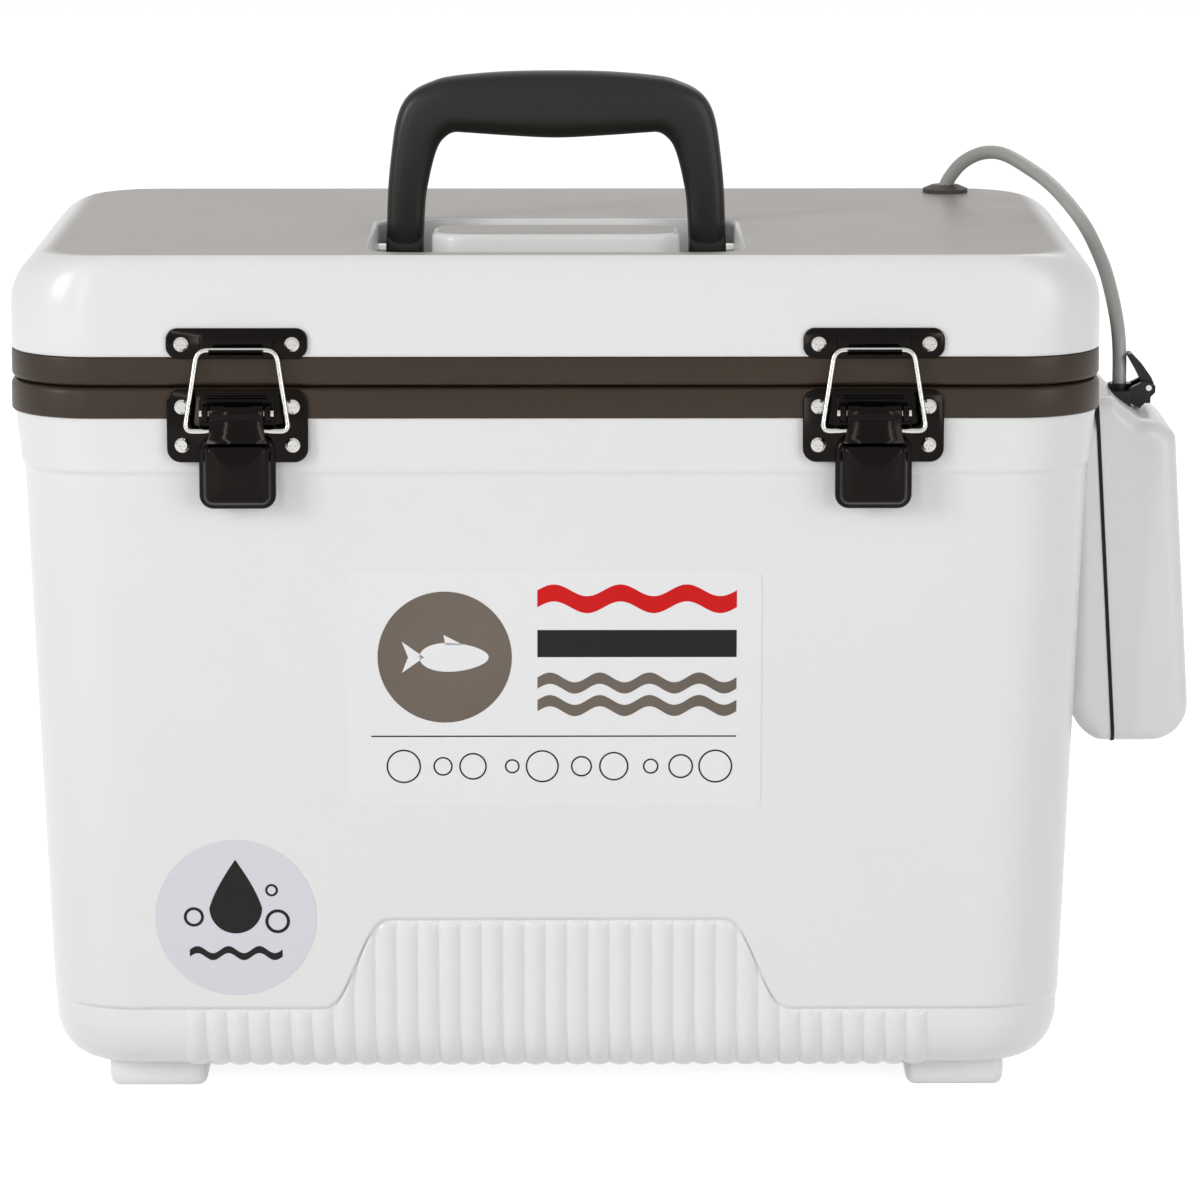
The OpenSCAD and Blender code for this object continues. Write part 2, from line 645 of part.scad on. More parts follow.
// The lip follows the arc that the bail's bar moves on as the lever opens
module keeper(x) {
  in_r = throw + wire_d / 2 + 0.2;
  lip_t = 1.3;
  lip_half = 11.5;
  mid = bar_z + throw;
  color(c_nickel) translate([x, 0, 0]) difference() {
    union() {
      plate(z_lid - 0.2, keeper_h, 5, false);
      along_x(-lip_half, lip_half) {
        translate([bar_y, mid]) intersection() {
          difference() {
            circle(in_r + lip_t, $fn = 72);
            circle(in_r, $fn = 72);
          }
          polygon([[0, 0], [-20, -20], [eps, -20]]);
        }
        translate([bar_y - eps, mid - in_r - lip_t]) square([plate_y - bar_y + 0.5, lip_t]);
      }
    }
    plate_holes(false);
  }
}

module latch_pins() {
  half = neck_w / 2 + 0.3 + lug_t;
  color(c_steel) for (x = [-latch_x, latch_x]) translate([x, 0, 0])
    rod_x(-half - 1.2, half + 1.2, lever_y, lever_z, lever_pin_r);
}
module latch_base_screws() {
  color(c_steel) for (x = [-latch_x, latch_x], p = screw_rows(true))
    translate([x + p[0], plate_y, p[1]]) screw(12);
}
module keeper_screws() {
  color(c_steel) for (x = [-latch_x, latch_x], p = screw_rows(false))
    translate([x + p[0], plate_y, p[1]]) screw(12);
}

// The lever at the middle of its width: x is added by the caller
module lever(x) {
  grip_top = lever_z - 10.4;
  grip_low = lever_z - lever_l;
  grip_mid = (grip_top + grip_low) / 2;
  h = grip_top - grip_low;
  back = lever_front + lever_t;
  // Rings of the grip from its flat back to its domed front
  grip = [for (s = [[0, 0], [0.55, 0], [0.8, 0.8], [0.93, 2.2], [1, 5]])
    [for (p = round_rect(lever_w - 2 * s[1], h - 2 * s[1], 6, 0))
      [p[0], back - lever_t * s[0], grip_mid + p[1]]]];
  color(c_nickel) translate([x, 0, 0]) difference() {
    union() {
      skin(grip);
      rod_x(-neck_w / 2, neck_w / 2, lever_y, lever_z, 4.2);
      box([-neck_w / 2, lever_y - 2.8, grip_top - 2], [neck_w / 2, lever_y + 2.6, lever_z]);
    }
    rod_x(-neck_w, neck_w, lever_y, lever_z, lever_pin_r + fit);
    for (s = [-1, 1]) translate([s * neck_w / 2, 0, 0])
      rod_x(-3.5, 3.5, lever_y, end_z, wire_d / 2 + fit);
  }
}

// The wire bail, from one end in the lever to the other
module bail(x) {
  low = (bail_low_w - wire_d) / 2;
  top = (bail_top_w - wire_d) / 2;
  foot = [0, lever_y, end_z];
  bar = [0, bar_y, bar_z];
  ends = neck_w / 2 + 0.8;
  right = [[ends, 0, 0] + foot, [low, 0, 0] + foot, [top, 0, 0] + bar];
  left = [for (p = right) [-p[0], p[1], p[2]]];
  line = concat(
    [right[0]], bend(right[0], right[1], right[2], 3.6), bend(right[1], right[2], left[2], 4.6),
    bend(right[2], left[2], left[1], 4.6), bend(left[2], left[1], left[0], 3.6), [left[0]]);
  color(c_steel) translate([x, 0, 0]) {
    skin(tube_rings(line, wire_d / 2 - 0.03, 10, cross([1, 0, 0], unit(bar - foot))));
    for (s = [-1, 1]) translate([s * (neck_w / 2 - 0.7), 0, 0])
      rod_x(-2.4, 2.4, foot[1], foot[2], wire_d / 2);
  }
}

// ---- Hinges ----

knuckle_half = hinge_l / 6;
module hinge_tub_leaves() {
  color(c_steel) for (x = [-hinge_x, hinge_x]) translate([x, 0, 0]) difference() {
    union() {
      box([-hinge_l / 2, face_d + touch, hinge_z - leaf_h],
        [hinge_l / 2, leaf_y, hinge_z - barrel_r - 0.5]);
      for (s = [-1, 1]) translate([s * hinge_l / 3, 0, 0]) {
        rod_x(-knuckle_half + 0.2, knuckle_half, hinge_y, hinge_z, barrel_r);
        box([-knuckle_half + 0.2, face_d + touch, hinge_z - barrel_r - 1],
          [knuckle_half - 0.2, leaf_y, hinge_z]);
      }
    }
    rod_x(-hinge_l, hinge_l, hinge_y, hinge_z, hinge_pin_r);
    rod_x(-knuckle_half - 0.2, knuckle_half + 0.2, hinge_y, hinge_z, barrel_r + 0.3);
    for (s = [-1, 1]) rod_y(0, 2 * front, s * hinge_l / 3, hinge_z - 16, screw_r + 0.1);
  }
}
module hinge_lid_leaves() {
  color(c_steel) for (x = [-hinge_x, hinge_x]) translate([x, 0, 0]) difference() {
    union() {
      box([-hinge_l / 2, face_d + touch, hinge_z + barrel_r + 0.5],
        [hinge_l / 2, leaf_y, hinge_z + leaf_h]);
      rod_x(-knuckle_half + 0.2, knuckle_half - 0.2, hinge_y, hinge_z, barrel_r);
      box([-knuckle_half + 0.2, face_d + touch, hinge_z],
        [knuckle_half - 0.2, leaf_y, hinge_z + barrel_r + 1]);
    }
    rod_x(-hinge_l, hinge_l, hinge_y, hinge_z, hinge_pin_r + fit);
    for (s = [-1, 1]) rod_y(0, 2 * front, s * hinge_l / 3, hinge_z + 16, screw_r + 0.1);
  }
}
module hinge_pins() {
  color(c_steel) for (x = [-hinge_x, hinge_x])
    rod_x(x - hinge_l / 2, x + hinge_l / 2, hinge_y, hinge_z, hinge_pin_r);
}
module hinge_screws(dz) {
  color(c_steel) for (x = [-hinge_x, hinge_x], s = [-1, 1])
    translate([x + s * hinge_l / 3, leaf_y, hinge_z + dz]) rotate([0, 0, 180]) screw(12);
}

// ---- Lid ----

// A ring of the lid's outside at the angle a up its rounded edge, g inside it
function lid_ring(a, g) =
  let (e = 1 - cos(a))
  round_rect(rim_w - 0.5 - 2 * (lid_side_in * e + g), rim_d - 2 * (lid_face_in * e + g),
    corner_r - (lid_side_in + lid_face_in) / 2.4 * e - g, z_top - lid_edge_r * (1 - sin(a)) - g * sin(a));

module lid_shell() {
  pocket_l = pocket_back - pocket_front;
  pocket_y = -front + (pocket_front + pocket_back) / 2;
  block_front = handle_back - (handle_h - grip_t) + 2.8;
  color(c_white) difference() {
    union() {
      skin(concat(
        [for (a = [90:-15:0]) lid_ring(a, lid_t)],
        [round_rect(rim_w - 0.5 - 2 * lid_t, rim_d - 2 * lid_t, corner_r - lid_t, z_lid),
         round_rect(rim_w - 0.5, rim_d, corner_r, z_lid)],
        [for (a = [0:15:90]) lid_ring(a, 0)]));
      translate([0, pocket_y, 0])
        slab(pocket_w + 2 * lid_t, pocket_l + 2 * lid_t, pocket_r + lid_t, pocket_z - lid_t, z_top - 1);
    }
    difference() {
      translate([0, pocket_y, 0]) slab(pocket_w, pocket_l, pocket_r, pocket_z, z_top + 1);
      translate([0, -front + block_front + block_d / 2, 0])
        slab(block_w, block_d, block_r, pocket_z - 1, z_top);
    }
    for (s = [-1, 1]) translate([s * (pocket_w / 2 + lid_t - 2.6), 0, 0])
      rod_x(-4, 1, handle_y, pivot_z, handle_pin_r);
    translate([grommet_x, grommet_y, z_top - 20]) cylinder(r = 7.5, h = 40);
  }
}

module lid_band() {
  color(c_brown) difference() {
    slab(rim_w - 0.5, rim_d, corner_r, z_lid_band, z_lid);
    slab(mouth_w - 2 * plug_gap, mouth_d - 2 * plug_gap, mouth_r, z_lid_band - 1, z_lid + 1);
  }
}

// The lid's inner tray, whose bottom plugs the mouth of the tub
module lid_liner() {
  w = mouth_w - 2 * plug_gap - 2 * touch;
  d = mouth_d - 2 * plug_gap - 2 * touch;
  z0 = z_split - plug_h;
  color(c_white) difference() {
    slab(w, d, mouth_r, z0, z_lid);
    slab(w - 2 * liner_t, d - 2 * liner_t, mouth_r - liner_t, z0 + liner_t, z_lid + 1);
    translate([drop_x, drop_y, z0 - 1]) cylinder(r = hose_d / 2 + 0.5, h = 10);
  }
}

module lid_insulation() {
  w = mouth_w - 2 * plug_gap - 2 * liner_t - 0.4;
  d = mouth_d - 2 * plug_gap - 2 * liner_t - 0.4;
  wide = rim_w - 0.5 - 2 * lid_t - 0.4;
  deep = rim_d - 2 * lid_t - 0.4;
  pocket_l = pocket_back - pocket_front;
  pocket_y = -front + (pocket_front + pocket_back) / 2;
  color(c_foam) difference() {
    skin([
      round_rect(w, d, mouth_r - liner_t, z_split - plug_h + liner_t + 0.1),
      round_rect(w, d, mouth_r - liner_t, z_lid + 0.1),
      round_rect(wide, deep, corner_r - lid_t - 0.2, z_lid + 0.1),
      each [for (a = [0:15:90]) lid_ring(a, lid_t + 0.2)]]);
    translate([0, pocket_y, 0])
      slab(pocket_w + 2 * lid_t + 0.4, pocket_l + 2 * lid_t + 0.4, pocket_r + lid_t,
        pocket_z - lid_t - 0.2, z_top);
    skin(tube_rings(
      concat([inner_route[0] + [0, 0, 20]], [for (i = [1:8]) inner_route[i]],
        [inner_route[8] - [0, 0, 10]]), hose_d / 2 + 1.5, 8, [0.6, 0.8, 0]));
    translate([grommet_x, grommet_y, z_top - 12]) cylinder(r = 8, h = 40);
  }
}

module hose_grommet() {
  color([0.2, 0.16, 0.14]) translate([grommet_x, grommet_y, 0]) difference() {
    union() {
      translate([0, 0, z_top + touch]) cylinder(r = 10.5, h = 1.8);
      translate([0, 0, z_top + 1.8]) cylinder(r1 = 10.5, r2 = 6.5, h = 1.7);
      translate([0, 0, z_top - 9]) cylinder(r = 7.5, h = 10);
    }
    translate([0, 0, z_top - 10]) cylinder(r = 2, h = 20);
  }
}

// ---- Handle ----

function signed_pow(v, e) = (v < 0 ? -1 : 1) * pow(abs(v), e);
// Points from a leg's foot to the middle of the grip: outside as shares of the half width and the
// height, and inside as shares of the half width and the height of the opening
out_half = [[1, 0], [0.99, 0.325], [0.967, 0.55], [0.94, 0.718], [0.898, 0.824], [0.83, 0.893],
  [0.73, 0.939], [0.613, 0.969], [0.323, 0.994], [0, 1]];
in_half = [[1, 0], [0.98, 0.431], [0.95, 0.647], [0.913, 0.824], [0.875, 0.94], [0.825, 1.01],
  [0.766, 1.047], [0.673, 1.045], [0.37, 1.02], [0, 1]];
function whole(half, w, h) = concat(
  [for (p = half) [w * p[0], h * p[1]]],
  [for (i = [len(half) - 2:-1:0]) [-w * half[i][0], h * half[i][1]]]);
module carry_handle() {
  o = smooth(whole(out_half, handle_w / 2, handle_h), 2);
  i = smooth(whole(in_half, handle_w / 2 - leg_w, handle_h - grip_t), 2);
  last = len(o) - 1;
  rings = [for (m = [0:last])
    let (
      c = (o[m] + i[m]) / 2, e = (o[m] - i[m]) / 2,
      y = leg_d / 2 + (grip_d - leg_d) / 2 * pow(sin(180 * m / last), 2))
    [for (k = [0:13]) let (p = signed_pow(cos(360 * k / 14), 0.6), q = signed_pow(sin(360 * k / 14), 0.6))
      [c[0] + e[0] * p, handle_y + y * q, pivot_z + c[1] + e[1] * p]]];
  color(c_handle) difference() {
    union() {
      skin(rings);
      for (s = [-1, 1]) translate([s * (handle_w - leg_w) / 2, 0, 0])
        rod_x(-leg_w / 2, leg_w / 2, handle_y, pivot_z, boss_r);
    }
    rod_x(-handle_w, handle_w, handle_y, pivot_z, handle_pin_r + fit);
  }
}
module handle_pins() {
  half = (leg_w + handle_gap + lid_t - 1.6) / 2;
  color(c_steel) for (s = [-1, 1]) translate([s * (handle_w / 2 - leg_w + half), 0, 0])
    rod_x(-half, half, handle_y, pivot_z, handle_pin_r);
}

// ---- Air pump ----

// A ring of the case u outward from its half's seam face; deep shifts the section that it takes,
// inset draws it in, and side is -1 for the outer half and 1 for the inner half
function case_ring(u, y, z0, z1, inset, side) =
  let (h = (z1 - z0) / 2 - inset, r = min(case_edge - inset / 2, h - 0.5))
  [for (p = round_rect(2 * (y - inset), 2 * h, r, 0))
    let (z = (z0 + z1) / 2 + p[1]) [seam_x(z) - side * half_gap + u, side * p[0], z]];
function front_ring(u, deep, inset) =
  case_ring(u, front_y(u + deep), front_low(u + deep), front_top(u + deep), inset, -1);
function rear_ring(u, deep, inset) =
  case_ring(u, rear_y(u - deep), rear_low(u - deep), rear_top(u - deep), inset, 1);
function front_in(u, inset) = u == 0 ? front_ring(0, 0, inset)
  : front_ring(u - pump_wall, pump_wall, inset);
function rear_in(u, inset) = u == 0 ? rear_ring(0, 0, inset)
  : rear_ring(u + pump_wall, pump_wall, inset);
function reversed(v) = [for (i = [len(v) - 1:-1:0]) v[i]];
in_t = pump_wall - 0.2;
// The hollow of both halves, drawn in by inset
module case_hollow(inset) {
  skin(concat([for (u = front_us) front_in(u, in_t + inset)], [front_ring(-1, 1, in_t + inset)]));
  skin(concat([for (u = rear_us) rear_in(u, in_t + inset)], [rear_ring(1, 1, in_t + inset)]));
}
// The frame of the case's outer face: X points outward, Z runs up along the face
module on_face() {
  translate([switch_x, 0, switch_z]) rotate([0, -lean, 0]) children();
}

module pump_front_case() {
  color(c_white) difference() {
    skin(concat(
      [for (u = front_us) front_ring(u, 0, 0)], [for (u = reversed(front_us)) front_in(u, in_t)]));
    translate([hose_x, 0, pump_top - 20]) cylinder(r = hose_d / 2 + 0.4, h = 30);
    on_face() box([-6, -6.6, -4.8], [6, 6.6, 4.8]);
  }
}
module pump_rear_case() {
  color(c_white) difference() {
    skin(concat(
      [for (u = rear_us) rear_ring(u, 0, 0)], [for (u = reversed(rear_us)) rear_in(u, in_t)]));
    for (y = [-hook_y, hook_y])
      box([rear_x(hook_z) - 5, y - 4.4, hook_z - 0.4], [rear_x(hook_z) + 6, y + 4.4, hook_z + 6.6]);
  }
}
hook_y = 14;
hook_z = pump_bottom + 0.5226 * pump_h;
bracket_z = [pump_bottom + 0.153 * pump_h, pump_bottom + 0.688 * pump_h];
bracket_t = 2.2;
// The bracket's plate lies on the tub's side, and pads reach from it to the case
module pump_bracket() {
  z0 = bracket_z[0];
  z1 = bracket_z[1];
  color(c_black) difference() {
    union() {
      along_y(-26, 26) polygon([
        [half_w(z0) + touch, z0], [half_w(z0) + bracket_t, z0],
        [half_w(z1) + bracket_t, z1], [half_w(z1) + touch, z1]]);
      for (y = [-hook_y, hook_y]) {
        for (z = [[z0, z0 + 12], [hook_z - 12, hook_z + 12]])
          along_y(y - 5, y + 5) polygon([
            [half_w(z[0]) + 1, z[0]], [rear_x(z[0]) - touch, z[0]],
            [rear_x(z[1]) - touch, z[1]], [half_w(z[1]) + 1, z[1]]]);
        box([rear_x(hook_z) - 1, y - 4, hook_z], [rear_x(hook_z) + 4.6, y + 4, hook_z + 2]);
        box([rear_x(hook_z) + 2.8, y - 4, hook_z], [rear_x(hook_z) + 4.6, y + 4, hook_z + 6]);
      }
    }
    for (y = [-19, 19], z = [z0 + 9, z0 + 60])
      translate([half_w(z) - 4, y, z]) rotate([0, 90, 0]) {
        cylinder(r = screw_r + 0.1, h = 20);
        translate([0, 0, 4.5]) cylinder(r1 = screw_r + 0.1, r2 = screw_r + 4, h = 3.9);
      }
  }
}
module pump_bracket_screws() {
  z0 = bracket_z[0];
  color(c_steel) for (y = [-19, 19], z = [z0 + 9, z0 + 60])
    translate([half_w(z), y, z]) rotate([0, 90, 0]) {
      translate([0, 0, -10]) cylinder(r = screw_r, h = 10.5);
      translate([0, 0, 0.5]) cylinder(r1 = screw_r, r2 = screw_r + 1, h = 1);
    }
}

// Strip of soft rubber between the case's halves, higher at its top
module pump_case_gasket() {
  h = pump_h / cos(lean) / 2;
  color(c_black) translate([seam_x(pump_mid_z), 0, pump_mid_z]) rotate([0, -lean, 0]) {
    rotate([90, 0, 90]) translate([0, 0, -gasket_t / 2]) linear_extrude(gasket_t) difference() {
      plan(pump_w + 0.8, 2 * h + 0.8, 8.4);
      plan(pump_w - 2 * in_t, 2 * h - 2 * in_t, case_edge - 1);
    }
    box([-gasket_t / 2 - 1, -38, h - 8.6], [gasket_t / 2, 38, h + 3.2]);
  }
}

module battery_cells() {
  color([0.15, 0.15, 0.16]) for (s = [-1, 1]) translate([cell_x, s * cell_y, cell_z]) {
    cylinder(r = cell_r, h = cell_l - 1.5, $fn = 64);
    cylinder(r = 4.8, h = cell_l);
  }
}
module battery_contacts() {
  floor_z = pump_bottom + pump_wall + touch;
  color(c_steel) {
    box([cell_x - 4, -cell_y - 6, floor_z], [cell_x + 5, cell_y + 6, floor_z + 0.8]);
    for (s = [-1, 1]) {
      translate([cell_x, s * cell_y, floor_z])
        cylinder(r1 = 6, r2 = 3.5, h = cell_z - floor_z - touch);
      box([cell_x - 5, s * cell_y - 6, cell_z + cell_l + touch],
        [cell_x + 5, s * cell_y + 6, chassis_z - touch]);
    }
  }
}

// Shelf across the case, with the motor's cradle and the posts that carry the pump's head
module pump_chassis() {
  z0 = chassis_z;
  z1 = chassis_z + chassis_t;
  color(c_black) difference() {
    union() {
      intersection() {
        box([200, -60, z0], [300, 60, z1]);
        case_hollow(touch);
      }
      for (y = [-34, -18])
        box([hose_x - 10.5, y - 1.5, z1 - 0.5], [hose_x + 10.5, y + 1.5, motor_z - 4]);
      for (y = [-11, 11])
        box([hose_x - 4, y - 1.5, z1 - 0.5], [hose_x + 4, y + 1.5, diaphragm_z - 3]);
      translate([hose_x, 0, diaphragm_z - 3.5]) cylinder(r = head_r, h = 3.5);
    }
    rod_y(-60, motor_end, hose_x, motor_z, motor_r + touch);
    rod_y(-30, 0, hose_x, motor_z, shaft_r + 0.6);
    translate([hose_x, 0, diaphragm_z - 5]) cylinder(r = 9, h = 10);
  }
}
module pump_motor() {
  color(c_steel) {
    rod_y(motor_end - motor_l, motor_end, hose_x, motor_z, motor_r);
    rod_y(motor_end - 1, motor_end + 0.4, hose_x, motor_z, 3);
  }
}
module motor_shaft() {
  color(c_steel) rod_y(motor_end + 0.45, 4, hose_x, motor_z, shaft_r);
}
module eccentric() {
  color(c_nickel) difference() {
    rod_y(-2.2, 2.2, hose_x, motor_z + crank, cam_r);
    rod_y(-5, 5, hose_x, motor_z, shaft_r);
  }
}
module diaphragm_yoke() {
  color([0.85, 0.85, 0.8]) difference() {
    union() {
      rod_y(-2.5, 2.5, hose_x, motor_z, yoke_r + 2.4);
      box([hose_x - 2.5, -2.5, motor_z + yoke_r], [hose_x + 2.5, 2.5, diaphragm_z - 1]);
      translate([hose_x, 0, diaphragm_z - 2]) cylinder(r = 6, h = 2 - touch);
    }
    rod_y(-5, 5, hose_x, motor_z, yoke_r);
  }
}
module pump_diaphragm() {
  color(c_black) translate([hose_x, 0, diaphragm_z + touch]) cylinder(r = head_r - 1, h = 1.2);
}
module pump_head() {
  z0 = diaphragm_z + 1.2 + 2 * touch;
  color([0.85, 0.85, 0.8]) translate([hose_x, 0, z0]) difference() {
    union() {
      cylinder(r = head_r, h = 11);
      translate([0, 0, 10]) cylinder(r = 5, h = 4);
      translate([0, 0, 12]) cylinder(r = 2.6, h = barb_top - z0 - 12);
    }
    translate([0, 0, -1]) cylinder(r = 8, h = 4);
    cylinder(r = 1, h = 60);
  }
}

// Block on the case's top that holds the hose and the case latch's pin
lug_y = 5.4;
module hose_collar() {
  off = half_gap + touch;
  color(c_black) difference() {
    union() {
      along_y(-13, 13) polygon([
        [seam_x(pump_top - 2.4) + off + 8.6, hub_top],
        [seam_x(pump_top - 4.4) + off + pump_t - 23.8 + 0.1, pump_top - 4.4],
        [seam_x(pump_top - 8) + off + pump_t - 19 + 0.1, pump_top - 8],
        [latch_pin_x - 8.4, pump_top - 9.2], [latch_pin_x - 8.4, hub_top]]);
      translate([hose_x, 0, hub_top - 1]) cylinder(r = 5.2, h = 3.6);
      for (s = [-1, 1]) translate([0, s * (lug_y + 1.8), 0]) {
        along_y(-1.5, 1.5) polygon([
          [latch_pin_x - 9, hub_top - 5], [latch_pin_x - 9, hub_top + 1],
          [latch_pin_x - 2, latch_pin_z + 3], [latch_pin_x + 3, latch_pin_z + 1],
          [latch_pin_x + 3, latch_pin_z - 2], [latch_pin_x - 4, pump_top - 10.3]]);
      }
    }
    translate([hose_x, 0, pump_top - 30]) cylinder(r = hose_d / 2 + 0.1, h = 60);
    rod_y(-30, 30, latch_pin_x, latch_pin_z, latch_pin_r);
    along_y(-6, 6) polygon([
      [hose_x - 12, pump_top - 9], [hose_x - 12, pump_top], [seam_x(pump_top) + off + 6.8, pump_top],
      [seam_x(pump_top - 4.4) + off + pump_t - 23.8 + 0.1, pump_top - 4.4]]);
  }
}
module case_latch_pin() {
  color(c_steel) rod_y(-lug_y - 3.6, lug_y + 3.6, latch_pin_x, latch_pin_z, latch_pin_r);
}
module case_latch() {
  color(c_black) difference() {
    union() {
      rod_y(-lug_y, lug_y, latch_pin_x, latch_pin_z, 3);
      along_y(-lug_y, lug_y) translate([latch_pin_x, latch_pin_z]) {
        polygon([
          [-2.6, 1.4], [-5.4, 7], [-9.2, 13.6], [-8.9, 14.8], [-7.4, 15],
          [-2.6, 10], [1.4, 4.4], [2.9, 0.8]]);
        polygon([[-1.2, 0], [-1.2, -tongue], [1.2, -tongue], [1.2, 0]]);
      }
    }
    rod_y(-30, 30, latch_pin_x, latch_pin_z, latch_pin_r + fit);
  }
}

// Rocker switch in the case's outer face
rocker_x = -0.5;
module switch_bezel() {
  color(c_black) on_face() difference() {
    union() {
      box([touch, -9.6, -6], [1.6, 9.6, 6]);
      box([-8, -6.5, -4.7], [1, 6.5, 4.7]);
    }
    box([-6.5, -5.7, -3.9], [4, 5.7, 3.9]);
    translate([rocker_x, 0, -4.4]) cylinder(r = 0.8 + fit, h = 8.8);
  }
}
module switch_rocker() {
  color([0.08, 0.08, 0.08]) on_face() translate([rocker_x, 0, 0]) rotate([0, 0, -8]) {
    translate([0, 0, -3.7]) linear_extrude(7.4)
      polygon([
        [-2.2, -3.4], [-2.2, 3.4], [0.6, 5.1], [2.2, 5.2], [2.9, 4.6], [2.2, 0],
        [2.9, -4.6], [2.2, -5.2], [0.6, -5.1]]);
    translate([0, 0, -4.3]) cylinder(r = 0.8, h = 8.6);
  }
}

// ---- Hose and air stone ----

hose_n = 8;
module air_hose() {
  color(c_hose) difference() {
    skin(tube_rings(smooth(outer_route, 2), hose_d / 2, hose_n, [0.6, 0.8, 0]));
    translate([grommet_x, grommet_y, z_top - 5]) cylinder(r = 12, h = 8.5 + touch);
  }
}
module inner_hose() {
  color(c_hose) skin(tube_rings(smooth(inner_route, 2), hose_d / 2, hose_n, [1, 0, 0]));
}
module air_stone() {
  end = inner_route[len(inner_route) - 1];
  color([0.3, 0.45, 0.6]) difference() {
    rod_y(end[1] - stone_l, end[1] - touch, end[0], end[2], stone_r);
    rod_y(end[1] - stone_l + 8, end[1] - stone_l + 8.8, end[0], end[2] + 2 * stone_r - 0.6, stone_r);
  }
}

placed() tub_shell();
placed() tub_liner();
placed() tub_insulation();
placed() tub_rim_band();
placed() rim_gasket();
placed() feet();
placed() hinge_tub_leaves();
placed() hinge_pins();
placed() hinge_screws(-16);  // hinge_tub_screws
placed() latch_base(-latch_x);  // left_latch_base
placed() latch_base(latch_x);  // right_latch_base
placed() latch_base_screws();
placed() latch_pins();
placed() front_label();
placed() round_label();
placed() lid_shell();
placed() lid_band();
placed() lid_liner();
placed() lid_insulation();
placed() hinge_lid_leaves();
placed() hinge_screws(16);  // hinge_lid_screws
placed() keeper(-latch_x);  // left_keeper
placed() keeper(latch_x);  // right_keeper
placed() keeper_screws();
placed() handle_pins();
placed() hose_grommet();
placed() carry_handle();
placed() lever(-latch_x);  // left_lever
placed() lever(latch_x);  // right_lever
placed() bail(-latch_x);  // left_bail
placed() bail(latch_x);  // right_bail
placed() pump_front_case();
placed() pump_rear_case();
placed() pump_bracket();
placed() pump_bracket_screws();
placed() pump_case_gasket();
placed() pump_chassis();
placed() pump_head();
placed() pump_diaphragm();
placed() diaphragm_yoke();
placed() pump_motor();
placed() battery_cells();
placed() battery_contacts();
placed() hose_collar();
placed() switch_bezel();
placed() case_latch_pin();
placed() air_hose();
placed() air_stone();
placed() inner_hose();
placed() switch_rocker();
placed() case_latch();
placed() motor_shaft();
placed() eccentric();
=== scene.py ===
import math

import bpy
import numpy as np
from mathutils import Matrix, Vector


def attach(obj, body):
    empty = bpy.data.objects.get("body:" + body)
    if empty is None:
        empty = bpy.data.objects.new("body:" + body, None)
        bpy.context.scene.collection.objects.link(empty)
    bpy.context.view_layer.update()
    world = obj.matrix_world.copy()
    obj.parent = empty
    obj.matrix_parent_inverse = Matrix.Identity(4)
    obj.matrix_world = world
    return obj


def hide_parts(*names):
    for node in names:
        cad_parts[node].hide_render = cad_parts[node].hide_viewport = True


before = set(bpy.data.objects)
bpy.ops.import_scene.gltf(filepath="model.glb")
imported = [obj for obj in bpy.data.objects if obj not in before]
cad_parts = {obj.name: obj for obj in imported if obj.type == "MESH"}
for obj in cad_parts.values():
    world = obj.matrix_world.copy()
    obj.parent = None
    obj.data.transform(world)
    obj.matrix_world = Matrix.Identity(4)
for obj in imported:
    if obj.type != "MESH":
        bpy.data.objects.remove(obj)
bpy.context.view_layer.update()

# Sizes in millimetres, before the origin moves to the middle of the bounding box
MID_X, MID_Y = 23.9659, -2.25
DRAFT = math.tan(math.radians(2))
Z0, Z_COLLAR, Z_RIM, Z_SPLIT = 12.5, 281.2, 304.9, 318.4
Z_LID_BAND, Z_LID, Z_TOP, Z_POCKET = 318.9, 331.3, 374.7, 352.7
RIM_W, RIM_D, CORNER = 235.5, 135.25, 38.0
PITCH, RIB_H, BASE_R = 9.3, 1.8, 20.0
SHELL_T = 3.5
HOSE_R = 3.175


def half_w(z):
    return 230.8 - (Z_COLLAR - z) * DRAFT


def half_d(z):
    return 131.7 - (Z_COLLAR - z) * DRAFT


def to_m(p):
    return ((p[0] - MID_X) / 1000, (p[1] - MID_Y) / 1000, p[2] / 1000)


# ---------------------------------------------------------------- camera
PITCH_DOWN, YAW = 10.46, 0.296
camera = bpy.data.objects.new("camera", bpy.data.cameras.new("camera"))
bpy.context.collection.objects.link(camera)
camera.location = to_m((6.8, -RIM_D - 2359, 661.7))
camera.rotation_euler = (math.radians(90 - PITCH_DOWN), 0, math.radians(-YAW))
camera.data.sensor_width = 36
camera.data.lens = 167.49
camera.data.clip_end = 50
bpy.context.scene.camera = camera


